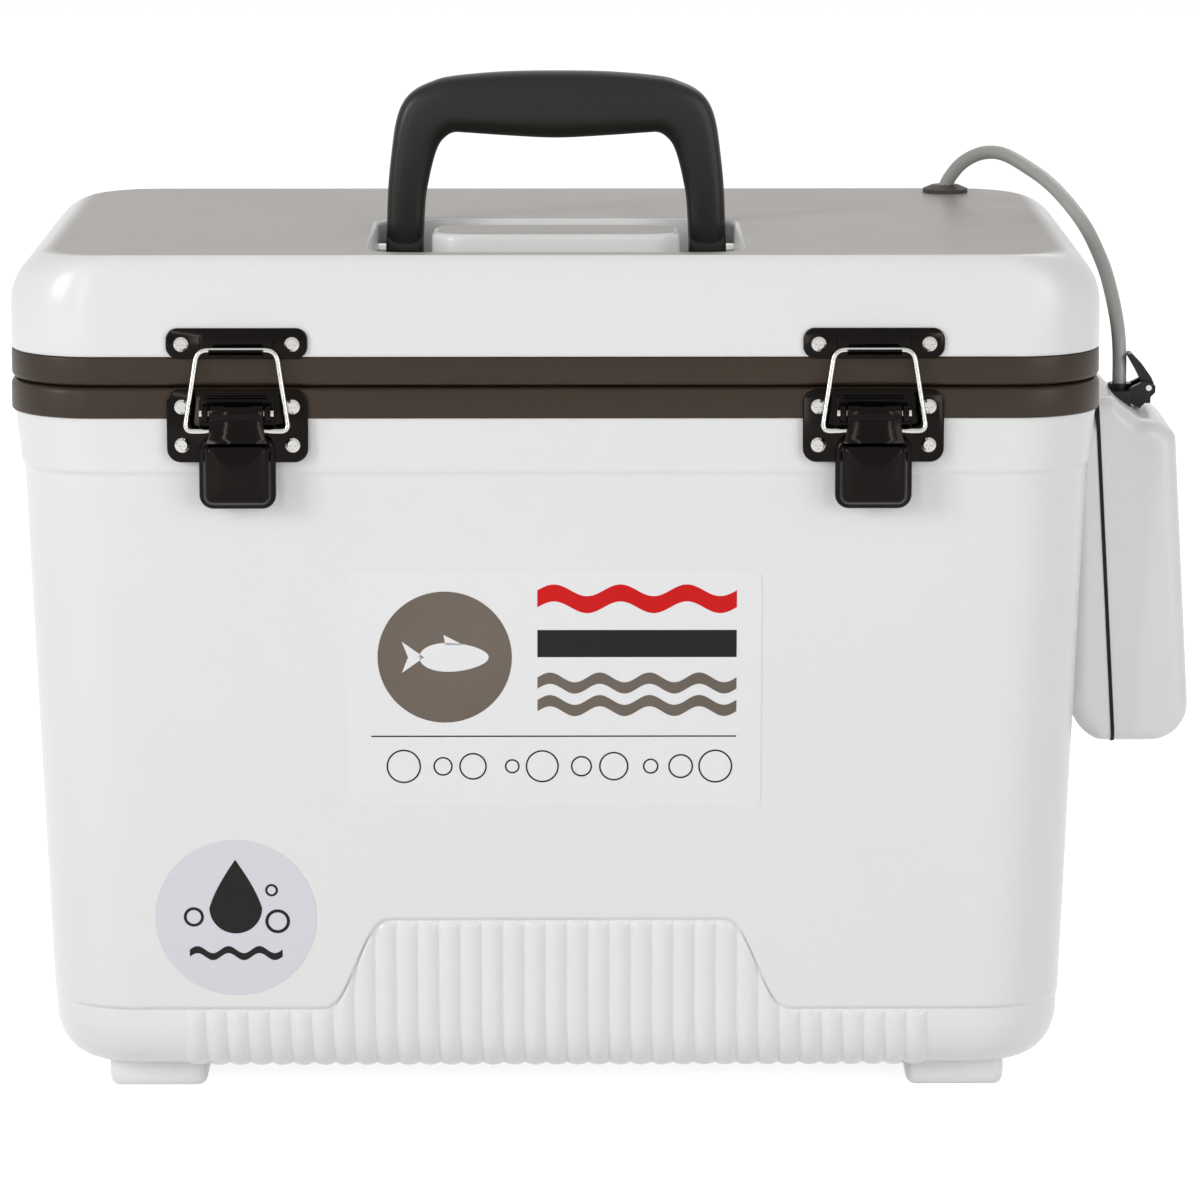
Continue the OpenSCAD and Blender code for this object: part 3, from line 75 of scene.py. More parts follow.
# ---------------------------------------------------------------- materials
def material(name, color, roughness, metallic=0.0, bump=None, coat=0.0,
             specular=0.5, uneven=0.03, top_bump=None, top_shade_color=None, vary=0.03):
    """A procedural material; bump is (scale, strength), top_bump the same for faces that look up, which
    also take a second colour: painted shade that darkens the top.
    """
    m = bpy.data.materials.new(name)
    m.use_nodes = True
    nt = m.node_tree
    bsdf = nt.nodes["Principled BSDF"]
    bsdf.inputs["Base Color"].default_value = (*color, 1)
    bsdf.inputs["Roughness"].default_value = roughness
    bsdf.inputs["Metallic"].default_value = metallic
    bsdf.inputs["Specular IOR Level"].default_value = specular
    bsdf.inputs["Coat Weight"].default_value = coat
    bsdf.inputs["Coat Roughness"].default_value = 0.12
    coord = nt.nodes.new("ShaderNodeTexCoord")

    def noise(scale, detail=3.0):
        n = nt.nodes.new("ShaderNodeTexNoise")
        n.inputs["Scale"].default_value = scale
        n.inputs["Detail"].default_value = detail
        nt.links.new(coord.outputs["Object"], n.inputs["Vector"])
        return n

    # Slight unevenness of colour and gloss over the surface
    wide = noise(9)
    ramp = nt.nodes.new("ShaderNodeMapRange")
    ramp.inputs["From Min"].default_value = 0.3
    ramp.inputs["From Max"].default_value = 0.7
    ramp.inputs["To Min"].default_value = 1 - vary
    ramp.inputs["To Max"].default_value = 1 + vary * 0.4
    nt.links.new(wide.outputs["Fac"], ramp.inputs["Value"])
    mix = nt.nodes.new("ShaderNodeVectorMath")
    mix.operation = "SCALE"
    mix.inputs[0].default_value = color
    nt.links.new(ramp.outputs["Result"], mix.inputs["Scale"])
    nt.links.new(mix.outputs["Vector"], bsdf.inputs["Base Color"])
    gloss = nt.nodes.new("ShaderNodeMapRange")
    gloss.inputs["From Min"].default_value = 0.3
    gloss.inputs["From Max"].default_value = 0.7
    gloss.inputs["To Min"].default_value = max(roughness - uneven, 0.03)
    gloss.inputs["To Max"].default_value = roughness + uneven
    fine = noise(40)
    nt.links.new(fine.outputs["Fac"], gloss.inputs["Value"])
    nt.links.new(gloss.outputs["Result"], bsdf.inputs["Roughness"])
    last = None

    def add_bump(height, strength, distance):
        nonlocal last
        b = nt.nodes.new("ShaderNodeBump")
        b.inputs["Distance"].default_value = distance
        if isinstance(strength, float):
            b.inputs["Strength"].default_value = strength
        else:
            nt.links.new(strength, b.inputs["Strength"])
        nt.links.new(height, b.inputs["Height"])
        if last:
            nt.links.new(last.outputs["Normal"], b.inputs["Normal"])
        last = b

    if bump:
        add_bump(noise(bump[0], 2).outputs["Fac"], float(bump[1]), 0.0002)
    if top_bump:
        cells = nt.nodes.new("ShaderNodeTexVoronoi")
        cells.feature = "SMOOTH_F1"
        cells.inputs["Scale"].default_value = top_bump[0]
        nt.links.new(coord.outputs["Object"], cells.inputs["Vector"])
        geometry = nt.nodes.new("ShaderNodeNewGeometry")
        split = nt.nodes.new("ShaderNodeSeparateXYZ")
        nt.links.new(geometry.outputs["Normal"], split.inputs["Vector"])
        mask = nt.nodes.new("ShaderNodeMapRange")
        mask.inputs["From Min"].default_value = 0.9
        mask.inputs["From Max"].default_value = 0.995
        nt.links.new(split.outputs["Z"], mask.inputs["Value"])
        strength = nt.nodes.new("ShaderNodeMath")
        strength.operation = "MULTIPLY"
        strength.inputs[1].default_value = top_bump[1]
        nt.links.new(mask.outputs["Result"], strength.inputs[0])
        add_bump(cells.outputs["Distance"], strength.outputs["Value"], 0.0002)
        # The pebbled top is duller than the polished sides, and darker by painted shade for the dim
        # light that falls on it
        top_shade_mix = nt.nodes.new("ShaderNodeMix")
        top_shade_mix.data_type = "RGBA"
        top_shade_mix.inputs["B"].default_value = (*top_shade_color, 1)
        nt.links.new(mask.outputs["Result"], top_shade_mix.inputs["Factor"])
        nt.links.new(mix.outputs["Vector"], top_shade_mix.inputs["A"])
        nt.links.new(top_shade_mix.outputs["Result"], bsdf.inputs["Base Color"])
        for socket, low, high in (("Specular IOR Level", specular, 0.08), ("Coat Weight", coat, 0.0)):
            fade = nt.nodes.new("ShaderNodeMapRange")
            fade.inputs["To Min"].default_value = low
            fade.inputs["To Max"].default_value = high
            nt.links.new(mask.outputs["Result"], fade.inputs["Value"])
            nt.links.new(fade.outputs["Result"], bsdf.inputs[socket])
    if last:
        nt.links.new(last.outputs["Normal"], bsdf.inputs["Normal"])
    return m


WHITE = (0.84, 0.84, 0.835)
M = {
    "white": material("white_plastic", WHITE, 0.3, bump=(90, 0.03), coat=0.1, vary=0.01,
                      uneven=0.015),
    # The lid's upward faces take a darker taupe colour as painted shade
    "lid_white": material("lid_plastic", WHITE, 0.3, bump=(90, 0.03), coat=0.1, vary=0.01, uneven=0.015,
                          top_bump=(620, 0.5), top_shade_color=(0.44, 0.41, 0.375)),
    "brown": material("rim_plastic", (0.034, 0.021, 0.0115), 0.4, bump=(500, 0.12), vary=0.06,
                      specular=0.28),
    "handle": material("handle_plastic", (0.0095, 0.0095, 0.0078), 0.36, bump=(700, 0.12), vary=0.06,
                       specular=0.3),
    "black": material("black_plastic", (0.009, 0.009, 0.009), 0.34, bump=(600, 0.15), vary=0.1,
                      specular=0.3),
    "rubber": material("black_rubber", (0.014, 0.013, 0.012), 0.7, bump=(900, 0.3), vary=0.1,
                       specular=0.2),
    "seal": material("seal_rubber", (0.55, 0.55, 0.53), 0.75, bump=(900, 0.4)),
    "nickel": material("black_nickel", (0.012, 0.0105, 0.0098), 0.14, 1.0, bump=(160, 0.03),
                       vary=0.1),
    "steel": material("bright_steel", (0.56, 0.55, 0.53), 0.16, 1.0, bump=(300, 0.04), vary=0.06),
    "zinc": material("brushed_steel", (0.5, 0.5, 0.49), 0.34, 1.0, bump=(220, 0.12), vary=0.08),
    "foam": material("foam", (0.72, 0.62, 0.34), 0.9, bump=(260, 0.7), vary=0.12),
    "hose": material("hose_vinyl", (0.4, 0.4, 0.38), 0.3, bump=(60, 0.05), coat=0.2, vary=0.06),
    "grommet": material("grommet_rubber", (0.062, 0.048, 0.043), 0.6, bump=(800, 0.25), vary=0.1),
    "film": material("label_film", (0.86, 0.86, 0.87), 0.24, bump=(200, 0.03), vary=0.01),
    "film_pale": material("round_film", (0.72, 0.72, 0.77), 0.26, bump=(200, 0.03), vary=0.02),
    "ink_black": material("ink_black", (0.009, 0.008, 0.008), 0.35, bump=(500, 0.1), vary=0.2,
                          specular=0.2),
    "ink_taupe": material("ink_taupe", (0.165, 0.135, 0.11), 0.38, bump=(500, 0.1), vary=0.16,
                          specular=0.2),
    "ink_red": material("ink_red", (0.65, 0.006, 0.006), 0.35, bump=(500, 0.1), vary=0.06,
                        specular=0.2),
    "cell": material("cell_sleeve", (0.02, 0.02, 0.025), 0.3, bump=(200, 0.05), vary=0.1),
    "pump": material("pump_plastic", (0.6, 0.6, 0.55), 0.45, bump=(500, 0.15), vary=0.05),
    "stone": material("air_stone", (0.16, 0.27, 0.4), 0.95, bump=(700, 1.0), vary=0.2),
}
NODE_MATERIAL = {
    "tub_liner": "white", "lid_liner": "white", "feet": "white",
    "tub_insulation": "foam", "lid_insulation": "foam", "rim_gasket": "seal",
    "hinge_tub_leaves": "zinc", "hinge_pins": "steel", "hinge_tub_screws": "steel",
    "hinge_lid_leaves": "zinc", "hinge_lid_screws": "steel", "latch_base_screws": "steel",
    "keeper_screws": "steel", "latch_pins": "steel", "pump_bracket": "black",
    "pump_bracket_screws": "steel", "pump_case_gasket": "rubber", "pump_chassis": "black",
    "pump_head": "pump", "pump_diaphragm": "rubber", "diaphragm_yoke": "pump",
    "pump_motor": "zinc", "battery_cells": "cell", "battery_contacts": "steel",
    "hose_collar": "black", "switch_bezel": "black", "case_latch_pin": "steel",
    "air_stone": "stone", "handle_pins": "steel", "hose_grommet": "grommet",
    "switch_rocker": "black", "case_latch": "black", "motor_shaft": "steel", "eccentric": "zinc",
    "tub_shell": "white", "tub_rim_band": "brown", "lid_shell": "lid_white", "lid_band": "brown",
    "pump_rear_case": "white", "pump_front_case": "white", "left_latch_base": "nickel",
    "right_latch_base": "nickel", "left_keeper": "nickel", "right_keeper": "nickel",
    "left_lever": "nickel", "right_lever": "nickel", "left_bail": "steel",
    "right_bail": "steel", "front_label": "film", "round_label": "film_pale",
    "carry_handle": "handle", "air_hose": "hose", "inner_hose": "hose",
}
for name, key in NODE_MATERIAL.items():
    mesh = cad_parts[name].data
    mesh.materials.clear()
    mesh.materials.append(M[key])


# ---------------------------------------------------------------- mesh code
def piece(name, verts, faces, key, body, slot, replaces=(), angle=32):
    """A new object from points in millimetres."""
    mesh = bpy.data.meshes.new(name)
    mesh.from_pydata([to_m(v) for v in verts], [], faces)
    mesh.validate()
    mesh.shade_smooth()
    mesh.set_sharp_from_angle(angle=math.radians(angle))
    mesh.materials.append(M[key])
    obj = bpy.data.objects.new(name, mesh)
    bpy.context.collection.objects.link(obj)
    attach(obj, body)
    if replaces:
        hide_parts(*replaces)
    return obj


def skin(rings, caps=True, loop=False):
    """Faces over rings of equal counts; loop joins the last ring to the first."""
    n, m = len(rings[0]), len(rings)
    verts = [tuple(p) for r in rings for p in r]
    faces = []
    for k in range(m if loop else m - 1):
        a, b = k * n, ((k + 1) % m) * n
        for i in range(n):
            j = (i + 1) % n
            faces.append((a + i, a + j, b + j, b + i))
    if caps and not loop:
        faces.append(tuple(range(n - 1, -1, -1)))
        faces.append(tuple((m - 1) * n + i for i in range(n)))
    return verts, faces


def joined(*parts):
    verts, faces = [], []
    for v, f in parts:
        base = len(verts)
        verts += list(v)
        faces += [tuple(i + base for i in face) for face in f]
    return verts, faces


def rounded(w, d, r, z=0.0, n=10, edge=6, cx=0.0, cy=0.0):
    """Points round a rounded rectangle of half sizes w and d, with some along its straight edges."""
    out = []
    r = max(r, 0.01)
    for c in range(4):
        sx, sy = (1, -1, -1, 1)[c], (1, 1, -1, -1)[c]
        for i in range(n + 1):
            a = math.radians(90 * (c + i / n))
            out.append((cx + sx * (w - r) + r * math.cos(a), cy + sy * (d - r) + r * math.sin(a), z))
        nsx, nsy = (1, -1, -1, 1)[(c + 1) % 4], (1, 1, -1, -1)[(c + 1) % 4]
        a = math.radians(90 * (c + 1))
        p = np.array((cx + sx * (w - r) + r * math.cos(a), cy + sy * (d - r) + r * math.sin(a), z))
        q = np.array((cx + nsx * (w - r) + r * math.cos(a), cy + nsy * (d - r) + r * math.sin(a), z))
        for k in range(1, edge):
            out.append(tuple(p + (q - p) * k / edge))
    return out


def quarter(r, steps=6):
    """(inset, rise) along a quarter circle, from a wall to a flat."""
    return [(r * (1 - math.cos(t)), r * math.sin(t)) for t in np.linspace(0, math.pi / 2, steps)]


def tube(line, radius, n=16, side=(0.6, 0.8, 0.0), caps=True):
    line = [np.array(p, float) for p in line]
    side = np.array(side, float)
    rings = []
    for i, p in enumerate(line):
        t = line[min(i + 1, len(line) - 1)] - line[max(i - 1, 0)]
        t /= np.linalg.norm(t)
        u = side - side.dot(t) * t
        u /= np.linalg.norm(u)
        v = np.cross(t, u)
        rings.append([tuple(p + radius * (math.cos(a) * u + math.sin(a) * v))
                      for a in np.linspace(0, 2 * math.pi, n, endpoint=False)])
    return skin(rings, caps)


def smooth(route, steps=8):
    out = []
    r = [np.array(p, float) for p in route]
    for i in range(len(r) - 1):
        a, b, c, d = r[max(i - 1, 0)], r[i], r[i + 1], r[min(i + 2, len(r) - 1)]
        for k in range(steps):
            t = k / steps
            out.append(0.5 * (2 * b + (c - a) * t + (2 * a - 5 * b + 4 * c - d) * t * t
                              + (3 * b - a - 3 * c + d) * t ** 3))
    out.append(r[-1])
    return out


def lathe_x(profile, y, z, n=40):
    """Rings about a line along X; profile is (x, radius)."""
    return skin([[(x, y + r * math.cos(a), z + r * math.sin(a))
                  for a in np.linspace(0, 2 * math.pi, n, endpoint=False)] for x, r in profile])


def mapped(part, f):
    verts, faces = part
    return [f(v) for v in verts], faces


# ---------------------------------------------------------------- tub
RIB_XS = [k * PITCH + PITCH * s for k in range(-17, 18)
          for s in (-0.5, -0.43, -0.36, -0.28, -0.18, -0.08, 0.02, 0.12, 0.22, 0.32, 0.4, 0.46)]


def ease(t):
    t = np.clip(t, 0, 1)
    return t ** 3 * (t * (6 * t - 15) + 10)


def tub_ring_plan():
    """Per point: kind ('c' corner or 'e' edge), signs, fixed coordinate and normal."""
    pts = []
    for c in range(4):
        sx, sy = (1, -1, -1, 1)[c], (1, 1, -1, -1)[c]
        for i in range(15):
            a = math.radians(90 * (c + i / 14))
            pts.append(("c", sx, sy, 0.0, math.cos(a), math.sin(a)))
        if c in (0, 2):
            xs = RIB_XS[::-1] if c == 0 else RIB_XS
            for x in xs:
                pts.append(("x", 0, sy, x, 0.0, float(sy)))
        else:
            for k in range(1, 24):
                s = 1 - 2 * k / 24
                pts.append(("y", sx, 0, s if c == 1 else -s, float(sx), 0.0))
    return pts


PLAN = tub_ring_plan()
NX = np.array([p[4] for p in PLAN])
NY = np.array([p[5] for p in PLAN])
IS_X = np.array([p[0] == "x" for p in PLAN])
XS = np.array([p[3] if p[0] == "x" else 200.0 for p in PLAN])
FRONTAL = np.abs(NY) ** 2
FIELD = 42.3 + 40.4 * ease((103.5 - np.abs(XS)) / 31.5)
PHASE = (XS / PITCH + 0.5) % 1 - 0.5
RIB = np.where(IS_X & (np.abs(XS) < 17.46 * PITCH),
               np.clip(np.cos(np.pi * PHASE / 0.92), 0, 1) ** 0.75, 0)
RIB = np.where(np.abs(PHASE) > 0.46, 0, RIB)


def tub_row(z, w, d, r):
    """Points of a row with half sizes w and d and corner radius r; each may differ per point."""
    n = len(PLAN)
    z, w, d, r = (np.broadcast_to(np.asarray(v, float), (n,)) for v in (z, w, d, r))
    x, y = np.empty(n), np.empty(n)
    for i, (kind, sx, sy, s, nx, ny) in enumerate(PLAN):
        if kind == "c":
            x[i], y[i] = sx * (w[i] - r[i]) + r[i] * nx, sy * (d[i] - r[i]) + r[i] * ny
        elif kind == "x":
            x[i], y[i] = s, sy * d[i]
        else:
            x[i], y[i] = sx * w[i], s * (d[i] - r[i])
    return np.stack([x, y, z], 1)


def tub_body():
    depth = 2.0 * FRONTAL + 0.5 * (1 - FRONTAL)
    rows = []
    wall = np.stack([NX, NY, np.zeros(len(PLAN))], 1)
    base_w, base_d = half_w(Z0), half_d(Z0)
    # Underside and bottom edge
    for inset in (60, 45, 30, 22.5):
        rows.append(tub_row(Z0, base_w - inset, base_d - inset, max(CORNER - inset, 3)))
    for deg in (90, 82, 72, 60, 48, 36, 24, 12):
        a = math.radians(deg)
        inset = BASE_R * (1 - math.cos(a))
        row = tub_row(Z0 + BASE_R * (1 - math.sin(a)), base_w - depth * 0.25 - inset,
                      base_d - depth - inset, CORNER - inset)
        out = RIB * RIB_H * (1 - 0.55 * (deg / 90) ** 2)
        row += wall * (out * math.cos(a))[:, None]
        row[:, 2] -= out * math.sin(a)
        rows.append(row)
    # Ribbed field, then its upper edge, then the plain wall
    for t in list(np.linspace(0, 0.86, 6)) + [0.9, 0.93, 0.955, 0.975, 0.99, 1.0]:
        z = Z0 + BASE_R + (FIELD - 1.2 - Z0 - BASE_R) * t
        gap = FIELD - z
        fade = np.clip((gap - 1.4) / 3.6, 0, 1)
        out = RIB * RIB_H * np.sqrt(np.clip(1 - (1 - fade) ** 2, 0, 1)) - depth
        row = tub_row(z, half_w(z), half_d(z), CORNER)
        rows.append(row + wall * out[:, None])
    for dz, k in ((-0.9, 0.97), (-0.5, 0.8), (-0.1, 0.5), (0.35, 0.22), (0.9, 0.06), (1.6, 0.0),
                  (3.0, 0.0)):
        z = FIELD + dz
        row = tub_row(z, half_w(z), half_d(z), CORNER)
        rows.append(row - wall * (depth * k)[:, None])
    for t in (0.25, 0.6, 1.0):
        z = FIELD + 3 + (100 - FIELD - 3) * t
        rows.append(tub_row(z, half_w(z), half_d(z), CORNER))
    for z in (150, 200, 245, Z_COLLAR - 2.2):
        rows.append(tub_row(z, half_w(z), half_d(z), CORNER))
    for dz, out in ((-1.2, 0.1), (-0.5, 0.45), (0.1, 0.9), (0.8, 1.15), (1.8, 1.2)):
        z = Z_COLLAR + dz
        rows.append(tub_row(z, half_w(Z_COLLAR) + out, half_d(Z_COLLAR) + out, CORNER))
    rows.append(tub_row(Z_RIM - 3, RIM_W - 1.6, RIM_D - 1.6, CORNER))
    rows.append(tub_row(Z_RIM, RIM_W - 1.3, RIM_D - 1.3, CORNER))
    # Inside of the shell
    rows.append(tub_row(Z_RIM, RIM_W - 1.3 - SHELL_T, RIM_D - 1.3 - SHELL_T, CORNER - SHELL_T))
    inner_r = CORNER - SHELL_T
    for z in (Z_COLLAR, 94.7):
        rows.append(tub_row(z, half_w(z) - SHELL_T, half_d(z) - SHELL_T, inner_r))
    low_w, low_d = half_w(Z0) - 4, half_d(Z0) - 5.5
    rows.append(tub_row(84.2, half_w(84.2) - SHELL_T, low_d + 0.6, inner_r))
    rows.append(tub_row(37.5, low_w, low_d, inner_r))
    rows.append(tub_row(23, low_w - 3, low_d - 3, CORNER - 6.5))
    rows.append(tub_row(16, low_w - 10, low_d - 10, CORNER - 13.5))
    return skin(rows)


piece("tub_body", *tub_body(), "white", "tub", "body_white", ["tub_shell"])


def ring_band(outer_w, outer_d, profile, inner_w, inner_d, inner_r, inner_z):
    """A band round the box: profile is (inset, z) over its outside, inner_z its inner side."""
    rings = [rounded(outer_w - i, outer_d - i, CORNER - i, z, 14, 10) for i, z in profile]
    rings += [rounded(inner_w, inner_d, inner_r, z, 14, 10) for z in inner_z]
    return skin(rings, loop=True)


def band_profile(z0, z1, low, high):
    """Outline of a band from z0 to z1 with its lower and upper edges rounded by low and high."""
    out = [(low - low * math.cos(t), z0 + low - low * math.sin(t))
           for t in np.linspace(math.pi / 2, 0, 6)]
    return out + [(i, z1 - high + s) for i, s in quarter(high)]


MOUTH_W, MOUTH_D = 201.2, 100.95
low_band = [(12, Z_RIM)] + band_profile(Z_RIM, Z_SPLIT, 1.0, 2.6)
groove = [(13.4, Z_SPLIT), (13.4, Z_SPLIT - 3), (19.6, Z_SPLIT - 3), (19.6, Z_SPLIT)]
piece("rim_lower", *ring_band(RIM_W, RIM_D, low_band + groove, MOUTH_W, MOUTH_D, 9.5,
                              [Z_SPLIT, Z_RIM]),
      "brown", "tub", "band_brown", ["tub_rim_band"])
high_band = [(12, Z_LID_BAND)] + band_profile(Z_LID_BAND, Z_LID, 2.4, 0.8) + [(12, Z_LID)]
piece("rim_upper", *ring_band(RIM_W - 0.25, RIM_D, high_band, MOUTH_W - 2.5, MOUTH_D - 2.5, 12,
                              [Z_LID, Z_LID_BAND]),
      "brown", "lid", "band_brown", ["lid_band"])


# Feet: blocks with rounded lower edges
def foot(cx, cy):
    w, d = 21.7, 19.0
    rings = [rounded(w - i, d - i, max(5 - i, 1), z, 5, 3, cx, cy)
             for i, z in ((7, 0.9), (6.4, 0.0), (4, 0.0), (2.2, 0.5), (0.9, 1.7), (0.2, 3.4), (0, 5.2),
                          (0, 9.5), (0.4, 12.5))]
    return skin(rings)


FOOT_Y = half_d(Z0) - BASE_R - 19 - 4.5
piece("foot_blocks", *joined(*[foot(sx * 176.5, sy * FOOT_Y) for sx in (-1, 1) for sy in (-1, 1)]),
      "white", "tub", "body_white", ["feet"])


# ---------------------------------------------------------------- lid
LID_W = RIM_W - 0.25
POCKET_W, POCKET_D, POCKET_Y = 79.7, 61.9, -RIM_D + 17 + 61.9
BLOCK_W, BLOCK_D, BLOCK_Y = 55.0, 19.25, -RIM_D + 80.5 + 19.25


def lid_body():
    def lid(i, z):
        return rounded(LID_W - i, RIM_D - i, max(CORNER - i, 2), z, 16, 12)

    def pocket(i, z):
        return rounded(POCKET_W - i, POCKET_D - i, max(14 - i, 2), z, 16, 12, 0, POCKET_Y)

    def block(i, z):
        return rounded(BLOCK_W - i, BLOCK_D - i, max(15 - i, 2), z, 16, 12, 0, BLOCK_Y)

    def between(a, b, t):
        a, b = np.array(a), np.array(b)
        return [tuple(p) for p in a + (b - a) * t]

    rings = [lid(30, Z_LID + 0.02), lid(1.2, Z_LID + 0.02), lid(0.5, Z_LID + 0.3), lid(0.1, Z_LID + 1.0),
             lid(0, Z_LID + 2.2)]
    # Side and face lean in over the top 24 mm, the sides much more
    for deg in (0, 8, 16, 24, 32, 40, 48, 55, 61, 67, 72, 76, 79.5, 82.5, 85, 87, 88.6, 90):
        e, rise = 1 - math.cos(math.radians(deg)), math.sin(math.radians(deg))
        rings.append(rounded(LID_W - 22 * e, RIM_D - 6 * e, CORNER - 11.67 * e,
                             Z_TOP - 24 * (1 - rise), 16, 12))
    top = rounded(LID_W - 26, RIM_D - 10, CORNER - 15, Z_TOP, 16, 12)
    rings.append(top)
    # Flat top, then down into the pocket
    lip = pocket(-4.5, Z_TOP)
    rings += [between(top, lip, t) for t in (0.35, 0.7)]
    rings.append(lip)
    rings += [pocket(-2.5 + 2.5 * math.sin(t), Z_TOP - 2.5 * (1 - math.cos(t)))
              for t in np.linspace(0, math.pi / 2, 6)]
    rings += [pocket(0.15, Z_TOP - 9), pocket(0.3, Z_POCKET + 4)]
    rings += [pocket(0.3 + 4 * (1 - math.cos(t)), Z_POCKET + 4 * (1 - math.sin(t)))
              for t in np.linspace(0.2, math.pi / 2, 6)]
    # Pocket's floor and the raised block
    rings.append(between(pocket(4.3, Z_POCKET), block(-3, Z_POCKET), 0.6))
    rings += [block(-3, Z_POCKET), block(-1.2, Z_POCKET + 0.8), block(-0.3, Z_POCKET + 2.6),
              block(0, Z_POCKET + 6)]
    rings += [block(0.3 + i, Z_TOP - 3 + s) for i, s in quarter(3, 7)]
    rings += [block(6, Z_TOP), block(12, Z_TOP)]
    return skin(rings)


piece("lid_body", *lid_body(), "lid_white", "lid", "body_white", ["lid_shell"])


# ---------------------------------------------------------------- carry handle
def spow(v, e):
    return math.copysign(abs(v) ** e, v)


HANDLE_Y, HANDLE_Z = -7.25, 362.2
# Half outlines of the grip, as shares of its half width and height
OUT_HALF = [(1, 0), (0.99, 0.325), (0.967, 0.55), (0.94, 0.718), (0.898, 0.824), (0.83, 0.893),
            (0.73, 0.939), (0.613, 0.969), (0.323, 0.994), (0, 1)]
IN_HALF = [(1, 0), (0.98, 0.431), (0.95, 0.647), (0.913, 0.824), (0.875, 0.94), (0.825, 1.01),
           (0.766, 1.047), (0.673, 1.045), (0.37, 1.02), (0, 1)]


def grip():
    n = 36
    outer, inner = [smooth([(w * a, h * b, 0) for a, b in half]
                           + [(-w * a, h * b, 0) for a, b in half[-2::-1]], 6)
                    for half, w, h in ((OUT_HALF, 75.9, 80.1), (IN_HALF, 59.4, 50.3))]
    rings = []
    for m, (a, b) in enumerate(zip(outer, inner)):
        mid, reach = (a + b) / 2, (a - b) / 2
        y = 7 + 2 * math.sin(math.pi * m / (len(outer) - 1)) ** 2
        ring = []
        for j in range(n):
            t = 2 * math.pi * j / n
            v = mid + reach * spow(math.cos(t), 0.62)
            ring.append((v[0], HANDLE_Y + y * spow(math.sin(t), 0.62), HANDLE_Z + v[1]))
        rings.append(ring)
    parts = [skin(rings)]
    # Round bosses on the pins
    for s in (-1, 1):
        prof = [(59.4, 2), (59.4, 6.6), (60.0, 7.5), (60.9, 7.8),
                (74.4, 7.8), (75.3, 7.5), (75.9, 6.6), (75.9, 2)]
        parts.append(lathe_x([(s * x, r) for x, r in prof][::s], HANDLE_Y, HANDLE_Z))
    return joined(*parts)


piece("grip", *grip(), "handle", "handle", "handle_black", ["carry_handle"], angle=40)


# ---------------------------------------------------------------- latches
PLATE_Y = -RIM_D - 1.5
LEVER_Y, LEVER_Z = PLATE_Y - 5.5, 308.3
BAR_Y, BAR_Z, END_Z = -138.3, 334.9, 300.7


def facing(part, cx):
    """Turns a part drawn in x and y, rising along z, to face the front: x, depth, height."""
    return mapped(part, lambda v: (v[0] + cx, -v[2], v[1]))


def pressed(w, h, r, cz, levels, n=8):
    """A pressed sheet in the front's plane; levels are (inset, distance in front of the lid)."""
    return [[(x, y, s) for x, y, _ in rounded(w - i, h - i, max(r - i, 0.3), 0, n, 3, 0, cz)]
            for i, s in levels]


def panel(w, h, r, cz, levels):
    """A raised panel on a plate; levels are (inset, distance in front of the plate)."""
    return skin(pressed(w, h, r, cz, [(i, -PLATE_Y + s) for i, s in levels]))


def plate(cx, z0, h, r, front=-PLATE_Y, back=RIM_D + 0.02):
    rings = pressed(30.2, h / 2, r, z0 + h / 2,
                    [(0.6, back), (0, back + 0.3), (0, front - 0.5), (0.15, front - 0.2), (0.5, front)])
    return facing(skin(rings), cx)


def keeper(cx):
    parts = [plate(cx, Z_LID - 0.2, 13, 5)]
    # Raised panel between the screws
    parts.append(facing(panel(16, 4.6, 3, Z_LID + 6.6, [(0, -0.2), (0.5, 0.35), (1.2, 0.5)]), cx))
    # Lip that the wire hooks under, bent forward and up
    mid, r_in, r_out = BAR_Z + 7.6, 8.97, 10.23
    bend = np.linspace(0, math.radians(43), 12)
    loop = [(-PLATE_Y - 0.3, mid - r_out), (138.0, mid - r_out)]
    loop += [(-BAR_Y + r_out * math.sin(t), mid - r_out * math.cos(t)) for t in bend]
    loop += [(-BAR_Y + r_in * math.sin(t), mid - r_in * math.cos(t)) for t in bend[::-1]]
    loop += [(138.0, mid - r_in), (-PLATE_Y - 0.3, mid - r_in)]
    parts.append(skin([[(cx + x, -y, z) for y, z in loop] for x in (-11.5, -11.3, 11.3, 11.5)]))
    return joined(*parts)


def latch_base(cx):
    z0 = Z_RIM - 18.6
    parts = [plate(cx, z0, 31.4, 6)]
    parts.append(facing(panel(16.5, 13.2, 3, z0 + 15.7, [(0, -0.2), (0.5, 0.3), (1.1, 0.45)]), cx))
    # Lugs that carry the pin
    for s in (-1, 1):
        x0, x1 = 11.95, 14.65
        prof = [(x0, 1), (x0, 3.7), (x0 + 0.3, 4.0), (x1 - 0.3, 4.0), (x1, 3.7), (x1, 1)]
        parts.append(lathe_x([(cx + s * x, r) for x, r in prof][::s], LEVER_Y, LEVER_Z, 28))
        web = rounded(1.35, 4.0, 0.3, 0, 3, 2, s * 13.3, LEVER_Z)
        rings = [[(x, y, dist) for x, y, _ in web] for dist in (-PLATE_Y - 0.2, -LEVER_Y)]
        parts.append(facing(skin(rings), cx))
    # Rolled bridge over the pin
    rings = [[(cx + x, PLATE_Y - 0.55 + 0.95 * math.cos(a), LEVER_Z + 6.2 + 0.8 * math.sin(a))
              for a in np.linspace(0, 2 * math.pi, 14, endpoint=False)] for x in (-13, -12.6, 12.6, 13)]
    parts.append(skin(rings))
    return joined(*parts)


